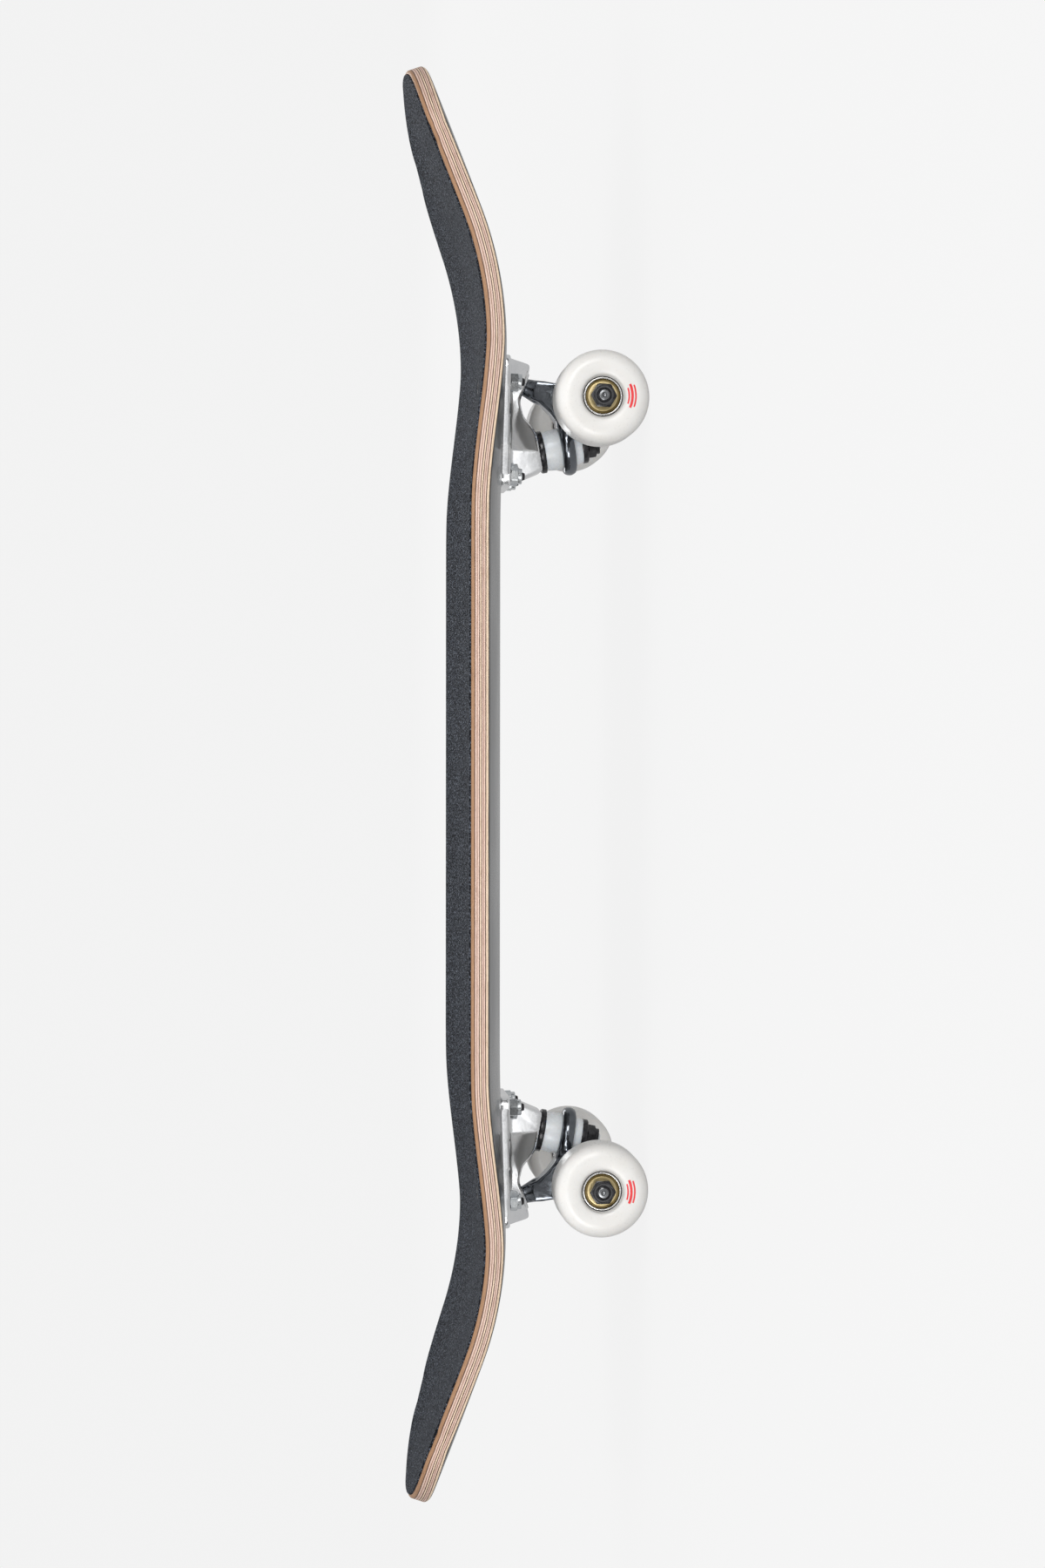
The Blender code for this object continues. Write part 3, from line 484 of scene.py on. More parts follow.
def turned(profile, steps=64, radius_at=None, ring=True, material=None):
    """A bmesh turned round local Z from (radius, height) points; a ring's profile is closed.

    radius_at, if given, maps (radius, height, angle) to the real (radius, height), for hexagons.
    material maps the number of a profile edge to a material slot.
    """
    solid = bmesh.new()
    rows = []
    for k in range(steps):
        angle = 2 * pi * k / steps
        row = []
        for radius, height in profile:
            r, z = radius_at(radius, height, angle) if radius_at else (radius, height)
            row.append(solid.verts.new((r * cos(angle), r * sin(angle), z)))
        rows.append(row)
    edges = len(profile) if ring else len(profile) - 1
    for k in range(steps):
        here, there = rows[k], rows[(k + 1) % steps]
        for i in range(edges):
            j = (i + 1) % len(profile)
            face = solid.faces.new((here[i], here[j], there[j], there[i]))
            if material:
                face.material_index = material(i)
    if not ring:
        bmesh.ops.remove_doubles(solid, verts=solid.verts, dist=1e-7)
    bmesh.ops.recalc_face_normals(solid, faces=solid.faces)
    return solid


def to_mesh(name, solids, angle=32):
    """One mesh from bmeshes, each a closed shell."""
    merged = bmesh.new()
    for solid in solids if isinstance(solids, (list, tuple)) else [solids]:
        part = bpy.data.meshes.new("part")
        solid.to_mesh(part)
        merged.from_mesh(part)
        solid.free()
        bpy.data.meshes.remove(part)
    mesh = bpy.data.meshes.new(name)
    merged.to_mesh(mesh)
    merged.free()
    shade(mesh, angle)
    return mesh


def painted(solid, index):
    for face in solid.faces:
        face.material_index = index
    return solid


def prism(first, second):
    """A closed solid between two loops with the same number of points."""
    solid = bmesh.new()
    loops = [[solid.verts.new(point) for point in points] for points in (first, second)]
    solid.faces.new(loops[0])
    solid.faces.new(reversed(loops[1]))
    count = len(first)
    for i in range(count):
        j = (i + 1) % count
        solid.faces.new((loops[0][i], loops[1][i], loops[1][j], loops[0][j]))
    bmesh.ops.recalc_face_normals(solid, faces=solid.faces)
    return solid


def extruded(outline, half_width, narrowing=0.0, height_range=(0, 1), edge_radius=0.0):
    """A flat outline in local x, y made solid along z; it gets thinner by narrowing as y rises."""
    low, high = height_range
    halves = [half_width - narrowing * min(1.0, max(0.0, (y - low) / (high - low))) for _, y in outline]
    solid = prism(*([(x, y, side * half) for (x, y), half in zip(outline, halves)] for side in (-1, 1)))
    if edge_radius:
        rims = [edge for edge in solid.edges if edge.verts[0].co.z * edge.verts[1].co.z > 0]
        bmesh.ops.bevel(solid, geom=rims, offset=edge_radius, segments=4, profile=0.5, affect="EDGES",
                        clamp_overlap=True)
    return solid


def pinch(solid, start, slope):
    """Make an extruded solid thinner from local x = start towards -x."""
    geometry = [*solid.verts, *solid.edges, *solid.faces]
    bmesh.ops.bisect_plane(solid, geom=geometry, plane_co=(start, 0, 0), plane_no=(1, 0, 0))
    for vert in solid.verts:
        if vert.co.x < start:
            vert.co.z -= copysign((start - vert.co.x) * slope, vert.co.z)


def carved(name, mesh, cutters, angle=32, voxel=0.0, smoothing=0):
    """A mesh with the cutters taken out; with a voxel size its solids first grow into one smooth skin."""
    blank = in_scene(name + "_blank", mesh)
    if voxel:
        remesh = blank.modifiers.new("Skin", "REMESH")
        remesh.mode = "VOXEL"
        remesh.voxel_size = voxel
        soften = blank.modifiers.new("Soften", "SMOOTH")
        soften.factor = 0.5
        soften.iterations = smoothing
    tool = in_scene(name + "_tool", to_mesh(name + "_tool", cutters))
    boolean = blank.modifiers.new("Cut", "BOOLEAN")
    boolean.operation = "DIFFERENCE"
    boolean.solver = "EXACT"
    boolean.object = tool
    boolean.use_self = voxel > 0
    bpy.context.view_layer.update()
    depsgraph = bpy.context.evaluated_depsgraph_get()
    result = bpy.data.meshes.new_from_object(blank.evaluated_get(depsgraph), depsgraph=depsgraph)
    result.name = name
    for helper in (blank, tool):
        bpy.data.objects.remove(helper, do_unlink=True)
    shade(result, angle)
    return result


def placed(solid, matrix):
    solid.transform(matrix)
    return solid


def cylinder(radius, start, end, steps=48):
    return turned([(0, end), (radius, end), (radius, start), (0, start)], steps, ring=False)


def ring_section(inner, outer, start, end, outer_corner=0.2 * MM, inner_corner=0.2 * MM):
    """The section of a washer or a tube, with rounded corners."""
    return rounded([(outer, end, outer_corner), (outer, start, outer_corner), (inner, start, inner_corner),
                    (inner, end, inner_corner)])


def arc(count, total=90):
    """Angles in radians from 0 to total degrees, in count equal steps."""
    return [radians(total * k / count) for k in range(count + 1)]


# ---------------- deck

def smooth_step(value, start, end):
    share = min(1.0, max(0.0, (value - start) / (end - start)))
    return share * share * (3 - 2 * share)


def underside_height(x):
    """Height of the underside on the centre line, x metres from the middle of the wheelbase."""
    kick = NOSE_KICK if x > 0 else TAIL_KICK
    x = abs(x)
    camber_fall = CAMBER_SLOPE * (CAMBER_END - CAMBER_START) / 2
    if x <= CAMBER_START:
        return UNDERSIDE_Z
    if x <= CAMBER_END:
        return UNDERSIDE_Z - camber_fall * ((x - CAMBER_START) / (CAMBER_END - CAMBER_START)) ** 2
    level = UNDERSIDE_Z - camber_fall
    kick_start = kick["low"] - kick["radius"] * sin(TRUCK_TILT)
    if x <= kick_start:
        return level - CAMBER_SLOPE * (x - CAMBER_END)
    level -= CAMBER_SLOPE * (kick_start - CAMBER_END)
    lowest = level - kick["radius"] * (1 - cos(TRUCK_TILT))
    kick_end = kick["low"] + kick["radius"] * sin(kick["angle"])
    if x <= kick_end:
        turn = asin((x - kick["low"]) / kick["radius"])
        return lowest + kick["radius"] * (1 - cos(turn))
    top_of_bend = lowest + kick["radius"] * (1 - cos(kick["angle"]))
    return top_of_bend + (x - kick_end) * tan(kick["angle"])


def concave_height(x, share):
    """How far the deck is raised at a share of its half width, from 0 in the middle to 1."""
    rise = CONCAVE_MIDDLE + (CONCAVE_KICK - CONCAVE_MIDDLE) * smooth_step(abs(x), *CONCAVE_FADE)
    curved = max(0.0, share - FLAT_SHARE) / (1 - FLAT_SHARE)
    return rise * curved ** CONCAVE_POWER


def outline_point(a, b, inset):
    """Plan position for a place on the square grid; a runs tail to nose and b across, -1 to 1."""
    if abs(a) <= STRAIGHT_SHARE:
        share = copysign(abs(b) ** OUTLINE_SPREAD, b)
        return STRAIGHT * a / STRAIGHT_SHARE, (HALF_WIDTH - inset) * share
    q = (abs(a) - STRAIGHT_SHARE) / (1 - STRAIGHT_SHARE)
    t = q * (1 - b * b / 2) ** 0.25
    w = copysign((abs(b) * sqrt(1 - q ** 4 / 2)) ** OUTLINE_SPREAD, b)
    narrowing = 1 - END_NARROWING * smooth_step(t, 0, 0.7)
    tip = NOSE_TIP if a > 0 else TAIL_TIP
    x = STRAIGHT + (tip - inset - STRAIGHT) * t
    return copysign(x, a), (HALF_WIDTH - inset) * w * narrowing


def deck_point(a, b, inset=0.0):
    x, y = outline_point(a, b, inset)
    share = abs(b) ** OUTLINE_SPREAD * (1 - inset / HALF_WIDTH)
    return Vector((x + WHEELBASE_X, y, underside_height(x) + concave_height(x, share)))


def grid_places():
    """The square grid's places by row, and the places round its border in order."""
    places = [[(2 * i / COLUMNS - 1, 2 * j / ROWS - 1) for j in range(ROWS + 1)] for i in range(COLUMNS + 1)]
    border = [(i, 0) for i in range(COLUMNS)] + [(COLUMNS, j) for j in range(ROWS)]
    border += [(i, ROWS) for i in range(COLUMNS, 0, -1)] + [(0, j) for j in range(ROWS, 0, -1)]
    return places, border


def grid_faces(sheet, rows, flip=False):
    """Faces over rows of vertices, turned over if flip is set."""
    for i in range(COLUMNS):
        for j in range(ROWS):
            corners = (rows[i][j], rows[i + 1][j], rows[i + 1][j + 1], rows[i][j + 1])
            yield sheet.faces.new(reversed(corners) if flip else corners)


def deck_normals(places):
    """Surface normals of the bare underside at each place; the border takes those just inside it."""
    sheet = bmesh.new()
    rows = [[sheet.verts.new(deck_point(a, b)) for a, b in row] for row in places]
    list(grid_faces(sheet, rows))
    sheet.normal_update()
    normals = [[rows[min(max(i, 2), COLUMNS - 2)][min(max(j, 1), ROWS - 1)].normal.copy()
                for j in range(ROWS + 1)] for i in range(COLUMNS + 1)]
    sheet.free()
    return normals


def edge_profile(low, high, lower_radius, upper_radius):
    """(inset, height) round the rim from the lower face to the upper one."""
    profile = [(lower_radius * (1 - sin(a)), low + lower_radius * (1 - cos(a))) for a in arc(6)]
    start, end = low + lower_radius, high - upper_radius
    profile += [(0.0, start + (end - start) * share) for share in (0.3, 0.45, 0.6, 0.75)]
    profile += [(upper_radius * (1 - cos(a)), high - upper_radius * (1 - sin(a))) for a in arc(5)]
    return profile


def sheet_mesh(name, inset, rim, slots):
    """A closed sheet on the deck's form, with an edge profile and its lower, rim and upper materials."""
    places, border = grid_places()
    normals = deck_normals(places)
    sheet = bmesh.new()
    layout = sheet.loops.layers.uv.new("ply")
    (low_inset, low), (high_inset, high) = rim[0], rim[-1]
    faces = []
    for extra, height, slot, flip in ((low_inset, low, slots[0], True), (high_inset, high, slots[2], False)):
        rows = [[sheet.verts.new(deck_point(*places[i][j], inset + extra) + normals[i][j] * height)
                 for j in range(ROWS + 1)] for i in range(COLUMNS + 1)]
        for face in grid_faces(sheet, rows, flip):
            face.material_index = slot
        faces.append(rows)
    rings = [[faces[0][i][j] for i, j in border]]
    for extra, height in rim[1:-1]:
        rings.append([sheet.verts.new(deck_point(*places[i][j], inset + extra) + normals[i][j] * height)
                      for i, j in border])
    rings.append([faces[1][i][j] for i, j in border])
    length = [0.0]
    for k in range(len(border)):
        length.append(length[-1] + (rings[0][(k + 1) % len(border)].co - rings[0][k].co).length)
    thickness = high - low
    for row in range(len(rings) - 1):
        heights = (rim[row][1], rim[row + 1][1])
        for k in range(len(border)):
            n = (k + 1) % len(border)
            corners = (rings[row][k], rings[row][n], rings[row + 1][n], rings[row + 1][k])
            face = sheet.faces.new(corners)
            face.material_index = slots[1]
            marks = ((length[k], heights[0]), (length[k + 1], heights[0]),
                     (length[k + 1], heights[1]), (length[k], heights[1]))
            for loop, (u, v) in zip(face.loops, marks):
                loop[layout].uv = (u, (v - low) / thickness)
    mesh = bpy.data.meshes.new(name)
    sheet.to_mesh(mesh)
    sheet.free()
    shade(mesh, 50)
    return mesh


def bolt_places():
    """The four bolts: outward 1 or -1, side 1 or -1, and the position in the truck's frame."""
    for outward in (1, -1):
        for side in (1, -1):
            yield outward, side, Vector((outward * HOLE_SPACING_X / 2, side * HOLE_SPACING_Y / 2, 0))


BOLT_RADIUS = 2.4 * MM
BOLT_HEAD_RADIUS = 4.6 * MM
BOLT_HEAD_TOP = DECK_THICKNESS + GRIP_THICKNESS - 0.15 * MM
BOLT_HEAD_DEPTH = 2.6 * MM


def cut_bolt_holes(obj):
    """Cut the eight countersunk holes through the deck or the tape."""
    clearance = 0.12 * MM
    above = BOLT_HEAD_TOP + 3 * MM
    head, shank = BOLT_HEAD_RADIUS + clearance, BOLT_RADIUS + clearance
    profile = [(0, above), (head, above), (head, BOLT_HEAD_TOP - 0.3 * MM),
               (shank, BOLT_HEAD_TOP - BOLT_HEAD_DEPTH), (shank, -4 * MM), (0, -4 * MM)]
    holes = []
    for matrix in TRUCKS.values():
        for _, _, place in bolt_places():
            holes.append(placed(turned(profile, 32, ring=False), matrix @ Matrix.Translation(place)))
    obj.data = carved(obj.name, obj.data, holes, 40)


def make_deck():
    rim = edge_profile(0.0, DECK_THICKNESS, LOWER_EDGE_RADIUS, UPPER_EDGE_RADIUS)
    mesh = sheet_mesh("deck_wood", 0.0, rim, (0, 1, 2))
    deck = new_piece("deck_wood", (mesh, ("lacquer", "ply", "veneer"), "maple_ply"), "board", ["deck"])
    low = DECK_THICKNESS + GRIP_GAP
    tape_rim = [(0.0, low), (0.0, low + 0.5 * GRIP_THICKNESS), (0.12 * MM, low + 0.85 * GRIP_THICKNESS),
                (0.45 * MM, low + GRIP_THICKNESS)]
    mesh = sheet_mesh("grip_sheet", GRIP_INSET, tape_rim, (0, 0, 0))
    grip = new_piece("grip_sheet", (mesh, ("grip",), "grip_tape"), "board", ["grip_tape"])
    for obj in (deck, grip):
        cut_bolt_holes(obj)


# ---------------- fasteners

HEXAGON_SHARPNESS = 55.0             # the power that keeps a hexagon's corners only slightly soft
CHAMFER_SLOPE = tan(radians(28))


def hexagon(flats):
    """A function that gives the radius of a hexagon with slightly soft corners at an angle."""
    def radius(angle):
        total = 0.0
        for k in range(6):
            reach = cos(angle - k * pi / 3)
            if reach > 0:
                total += (reach / (flats / 2)) ** HEXAGON_SHARPNESS
        return total ** (-1 / HEXAGON_SHARPNESS)
    return radius


def hex_solid(flats, height, bore):
    """A hexagon nut on z = 0 with chamfered faces."""
    at = hexagon(flats)
    chamfer = flats / 2 * 0.97
    bore_chamfer = 0.5 * MM

    def shape(radius, level, angle):
        if radius < chamfer * 0.999:
            return radius, level
        reach = at(angle)
        if radius < flats / 2:
            return radius, level
        drop = max(0.0, reach - chamfer) * CHAMFER_SLOPE
        return reach, (height - drop if level > height / 2 else drop)

    profile = [(bore, bore_chamfer), (bore, height - bore_chamfer), (bore + bore_chamfer, height),
               (chamfer, height), (flats, height), (flats, 0), (chamfer, 0), (bore + bore_chamfer, 0)]
    return turned(profile, 96, shape)


def lock_nut_mesh(name, flats, height, bore, dome):
    """A nylon insert lock nut: hexagon, rolled collar and insert.  Slots: body, insert."""
    body = hex_solid(flats, height - dome, bore)
    collar = 0.47 * flats
    base = height - dome - 0.4 * MM
    shell = turned(rounded([(bore + 0.25 * MM, base), (collar, base), (collar, height, dome * 0.55),
                            (bore + 1.2 * MM, height, 0.3 * MM), (bore + 1.2 * MM, height - 0.5 * MM),
                            (bore + 0.25 * MM, height - 0.5 * MM)]), 64)
    edge, foot, crown = bore + 1.15 * MM, base + 0.2 * MM, height - 0.35 * MM
    section = rounded([(bore, foot), (edge, foot), (edge, crown, 0.2 * MM), (bore, crown, 0.2 * MM)])
    insert = turned(section, 48)
    return to_mesh(name, [body, shell, painted(insert, 1)])


def thread(radius, start, end, pitch, depth):
    """(radius, height) points of a threaded stretch."""
    count = max(1, round(abs(end - start) / pitch))
    step = (end - start) / count
    points = []
    for k in range(count):
        points += [(radius, start + step * (k + 0.12)), (radius, start + step * (k + 0.38)),
                   (radius - depth, start + step * (k + 0.62)), (radius - depth, start + step * (k + 0.88))]
    return points


def nut_top(outward):
    """Where the nuts of the outer (1) or inner (-1) bolts start, under the wedge-shaped plate."""
    return PLATE_FACE + outward * CAMBER_SLOPE * HOLE_SPACING_X / 2 - 0.12 * MM


BOLT_NUT_FLATS = 9.5 * MM
BOLT_NUT_HEIGHT = 6.5 * MM
BOLT_SOCKET_RADIUS = 1.85 * MM
BOLT_SOCKET_DEPTH = 1.7 * MM


def bolt_mesh(name, end):
    """A countersunk mounting bolt with a hexagon socket and a threaded end."""
    top = BOLT_HEAD_TOP
    profile = [(0, top), (BOLT_HEAD_RADIUS - 0.3 * MM, top), (BOLT_HEAD_RADIUS, top - 0.3 * MM),
               (BOLT_RADIUS, top - BOLT_HEAD_DEPTH)]
    profile += thread(BOLT_RADIUS, -8 * MM, end + 0.5 * MM, 0.8 * MM, 0.3 * MM)
    profile += [(BOLT_RADIUS - 0.6 * MM, end), (0, end)]
    mesh = to_mesh(name, turned(profile, 40, ring=False))
    corners = [(BOLT_SOCKET_RADIUS * cos(a), BOLT_SOCKET_RADIUS * sin(a)) for a in arc(6, 360)[:-1]]
    recess = extruded(corners, BOLT_SOCKET_DEPTH)
    return carved(name, mesh, placed(recess, lifted(top)))


# ---------------- truck castings

def baseplate_mesh():
    """Wedge-shaped plate with the kingpin boss and the pivot boss, in the truck's frame."""
    corners = ((PLATE_OUTER, 1), (PLATE_INNER, 1), (PLATE_INNER, -1), (PLATE_OUTER, -1))
    outline = rounded([(x, side * PLATE_HALF_WIDTH, PLATE_CORNER) for x, side in corners], 8)
    plate = prism([(x, y, 0) for x, y in outline],
                  [(x, y, PLATE_FACE + CAMBER_SLOPE * x) for x, y in outline])
    side = rounded(in_mm(
        (41.0, -2.0, 0), (41.0, -5.0, 0), (37.9, -16.2, 2.2), (27, -14.4, 0), (16.6, -10.9, 6),
        (8.5, -13.0, 8), (3.4, -17.6, 5), (-1.2, -21.2, 1.5), (-22.2, -25.9, 2.0), (-31.8, -5.4, 0),
        (-32.4, -2.0, 0)), 6)
    body = extruded(side, 15.2 * MM, 1.6 * MM, (-4 * MM, -20 * MM))
    pinch(body, -12 * MM, 0.24)
    placed(body, SIDE_VIEW)
    up = along(SEAT, -KINGPIN_DOWN)
    bore = KINGPIN_RADIUS + 0.2 * MM
    cutters = [
        placed(cylinder(9.2 * MM, 9.2 * MM, 30 * MM), up),
        placed(cylinder(bore, -5 * MM, 12 * MM), up),
        placed(cylinder(8.1 * MM, -6.4 * MM, 15 * MM), PIVOT_FRAME),
    ]
    for _, _, place in bolt_places():
        cutters.append(placed(cylinder(2.65 * MM, -30 * MM, 5 * MM, 32), Matrix.Translation(place)))
    name = "baseplate_casting"
    return carved(name, to_mesh(name, [plate, body]), cutters, voxel=0.55 * MM, smoothing=12)


def hanger_mesh():
    """Axle tube, bushing ring and curved pivot arm, in the truck's frame."""
    half = [(0, HANGER_HALF_WIDTH), *in_mm((7.9, 71.6), (8.45, 70.6), (8.6, 56), (9.2, 40))]
    profile = [*half, (9.3 * MM, 0), *((r, -y) for r, y in reversed(half))]
    tube = placed(turned(profile, 64, ring=False), across(AXLE, 1))
    top, bottom = RING_FACES
    ring = turned(rounded([(0, bottom), (RING_RADIUS - 1.2 * MM, bottom, 2.2 * MM),
                           (RING_RADIUS + 0.2 * MM, (top + bottom) / 2, 3 * MM),
                           (RING_RADIUS - 1.2 * MM, top, 2.2 * MM), (0, top)]), 96, ring=False)
    placed(ring, KINGPIN_FRAME)
    side = rounded(in_mm(
        (30.0, -19.4, 2), (29.8, -25.0, 8), (28.4, -34.0, 12), (25.4, -45.0, 10), (20.0, -56.0, 6),
        (10.5, -59.0, 4), (1.0, -54.0, 8), (-6.0, -43.5, 3), (-3.0, -36.4, 3), (6.0, -33.4, 8),
        (12.4, -28.2, 6), (18.0, -21.7, 4), (19.6, -17.2, 1)), 5)
    web = placed(extruded(side, 9.6 * MM, 3.4 * MM, (-40 * MM, -18 * MM), edge_radius=4 * MM), SIDE_VIEW)
    ball = [(PIVOT_BALL_RADIUS * sin(a), -PIVOT_BALL_RADIUS * cos(a)) for a in arc(9)]
    stem = in_mm((5.2, 5), (7.0, 13), (6.5, 19), (3, 23), (0, 24))
    nose = placed(turned([*reversed(stem), *reversed(ball)], 48, ring=False), PIVOT_FRAME)
    gusset_outline = rounded(in_mm((-60, 3, 10), (-17, 15, 10), (17, 15, 10), (60, 3, 10), (60, -4, 2),
                                   (-60, -4, 2)), 5)
    to_plane = Matrix(((0, 0, 1, 0), (1, 0, 0, 0), (0, 1, 0, 0), (0, 0, 0, 1)))
    lean = Matrix.Translation(AXLE) @ Matrix.Rotation(-GUSSET_LEAN, 4, "Y")
    gusset = placed(extruded(gusset_outline, 5 * MM), lean @ to_plane)
    cutters = [
        placed(cylinder(12.4 * MM, bottom - 0.1 * MM, bottom + 25 * MM, 64), KINGPIN_FRAME),
        placed(cylinder(11.9 * MM, top - 6 * MM, top + 2.7 * MM, 64), KINGPIN_FRAME),
        placed(cylinder(11.2 * MM, bottom - 2.7 * MM, bottom + 2 * MM, 64), KINGPIN_FRAME),
        placed(cylinder(6.6 * MM, top - 5 * MM, bottom + 5 * MM, 64), KINGPIN_FRAME),
        placed(cylinder(AXLE_RADIUS + 0.15 * MM, -0.1, 0.1, 48), across(AXLE, 1)),
    ]
    name = "hanger_casting"
    return carved(name, to_mesh(name, [tube, ring, web, nose, gusset]), cutters, voxel=0.8 * MM, smoothing=9)


# ---------------- kingpin stack, in the kingpin's frame

def cup_washer_mesh(name, radius, height, opens_up):
    """A pressed washer with a rolled rim, standing on its local z = 0."""
    bore = KINGPIN_RADIUS + 0.2 * MM
    profile = rounded([(radius, height, 0.3 * MM), (radius, 0, 1.2 * MM), (bore, 0, 0.2 * MM),
                       (bore, 1.55 * MM, 0.2 * MM), (radius - 1.4 * MM, 1.55 * MM, 0.8 * MM),
                       (radius - 0.65 * MM, height, 0.25 * MM)])
    if not opens_up:
        profile = [(r, height - z) for r, z in profile]
    return to_mesh(name, turned(profile, 96))


def bushing_mesh(name, start, end, widths, rim):
    """A cast bushing with rounded rims; widths are its radii from start to end, in millimetres."""
    bore = KINGPIN_RADIUS + 0.15 * MM
    last = len(widths) - 1
    side = [(radius * MM, start + (end - start) * i / last, rim if i in (0, last) else 6 * MM)
            for i, radius in enumerate(widths)]
    profile = rounded([*side, (bore, end, 0.4 * MM), (bore, start, 0.4 * MM)], 6)
    return to_mesh(name, turned(profile, 96), angle=50)


def kingpin_mesh():
    """Hexagon head in the plate's pocket, plain shank and threaded end."""
    end = 36.6 * MM
    shank = [(0, -12 * MM), (KINGPIN_RADIUS, -12 * MM), (KINGPIN_RADIUS, 24 * MM)]
    shank += thread(KINGPIN_RADIUS, 25 * MM, end - 0.9 * MM, 1.06 * MM, 0.45 * MM)
    shank += [(KINGPIN_RADIUS - 0.9 * MM, end), (1.4 * MM, end), (1.0 * MM, end - 0.5 * MM),
              (0, end - 0.7 * MM)]
    head = placed(hex_solid(KINGPIN_FLATS, 6.0 * MM, 0.6 * MM), lifted(-15.5 * MM))
    return to_mesh("kingpin_bolt", [turned(shank, 48, ring=False), head])


def pivot_cup_mesh():
    seat = 5.0 * MM
    inside = [(seat * sin(a), -seat * cos(a)) for a in arc(6)]
    profile = [(0, -6.2 * MM), *inside, *in_mm((6.6, 3.9), (6.9, 4.4), (7.8, 4.4), (8.0, 4.1), (8.0, -6.2))]
    return to_mesh("pivot_cup_moulding", turned(profile, 64))


# ---------------- wheels and bearings

def wheel_mesh():
    """A cast wheel: tread, deep rounded lips, slightly dished faces and bearing seats."""
    tread = 8.2 * MM
    lip_height = 7.6 * MM
    face = WHEEL_HALF_WIDTH
    lip = [(WHEEL_RADIUS - lip_height * (1 - cos(a)), tread + (face - tread) * sin(a)) for a in arc(14)]
    seat = 11.12 * MM
    ledge = 5.0 * MM
    dish = in_mm((16.5, 0.06), (14.6, 0.22), (13.3, 0.45), (12.3, 0.9), (11.8, 1.5), (11.6, 2.4),
                 (11.25, 3.0))
    half = [*lip, *((radius, face - drop) for radius, drop in dish), (seat, face - 3.3 * MM), (seat, ledge),
            (8.8 * MM, ledge), (8.6 * MM, ledge - 0.3 * MM)]
    profile = [*half, *((r, -z) for r, z in reversed(half))]
    return to_mesh("wheel_casting", turned(profile, 128), angle=40)


# The printed stripes: inner and outer radius, and half the angle that each runs through
STRIPES = ((13.6 * MM, 14.5 * MM, 18), (15.2 * MM, 16.6 * MM, 24), (17.3 * MM, 18.2 * MM, 20))
STRIPE_STEPS = 16
STRIPE_FACES = (-0.1 * MM, 0.035 * MM)


def print_mesh(name):
    """Three thin stripes that run round part of the wheel's face, just proud of it."""
    stripes = []
    for inner, outer, half_angle in STRIPES:
        solid = bmesh.new()
        rows = []
        for k in range(STRIPE_STEPS + 1):
            angle = radians(-half_angle + 2 * half_angle * k / STRIPE_STEPS)
            row = []
            for radius in (inner, outer):
                for lift in STRIPE_FACES:
                    level = WHEEL_HALF_WIDTH - face_drop(radius) + lift
                    row.append(solid.verts.new((radius * cos(angle), radius * sin(angle), level)))
            rows.append(row)
        for here, there in zip(rows, rows[1:]):
            for i, j in ((1, 3), (3, 2), (2, 0), (0, 1)):
                solid.faces.new((here[i], here[j], there[j], there[i]))
        for row in (rows[0], rows[-1]):
            solid.faces.new((row[0], row[1], row[3], row[2]))
        bmesh.ops.recalc_face_normals(solid, faces=solid.faces)
        stripes.append(solid)
    return to_mesh(name, stripes)


def face_drop(radius):
    """How far the wheel's dished face lies below its highest ring at a radius."""
    marks = ((13.3, 0.45), (14.6, 0.22), (16.5, 0.06), (18.4, 0.0))
    for (r0, d0), (r1, d1) in zip(marks, marks[1:]):
        if radius <= r1 * MM:
            return (d0 + (d1 - d0) * (radius / MM - r0) / (r1 - r0)) * MM
    return 0.0


def bearing_mesh():
    """Races and two pressed shields with a stepped rim.  Slots: race, shield, painted shade on the rim's
    step, painted shadow ring round the outer chamfer.
    """
    h = BEARING_HALF_WIDTH
    outer = turned(ring_section(9.75 * MM, 10.55 * MM, -h, h), 96)
    # Painted shadow: a thin ring round the outer race painted black, for the shadowed gap between the race
    # and the wheel.
    skin = painted(turned(ring_section(10.57 * MM, 11.0 * MM, 0.45 * MM - h, h - 0.45 * MM, 0, 0), 96), 3)
    inner = turned(ring_section(4.15 * MM, 5.9 * MM, -h, h, inner_corner=0.3 * MM), 64)
    step, sill, crown = h - 1.2 * MM, h - 0.45 * MM, h - 0.3 * MM
    plate = rounded([(8.25 * MM, step), (6.1 * MM, step), (6.1 * MM, sill, 0.15 * MM),
                     (6.5 * MM, crown, 0.2 * MM), (8.25 * MM, crown, 0.3 * MM)])
    rim = [(9.7 * MM, h - 0.5 * MM), (9.7 * MM, step), (8.27 * MM, step), (8.27 * MM, h - 0.85 * MM),
           (9.2 * MM, h - 0.85 * MM)]
    # The shield's flat takes slot 1; its stepped rim takes slot 2, which is painted shade.
    shields = [painted(turned([(r, side * z) for r, z in profile], 96), slot)
               for side in (1, -1) for profile, slot in ((plate, 1), (rim, 2))]
    return to_mesh("shielded_bearing", [outer, skin, inner, *shields])


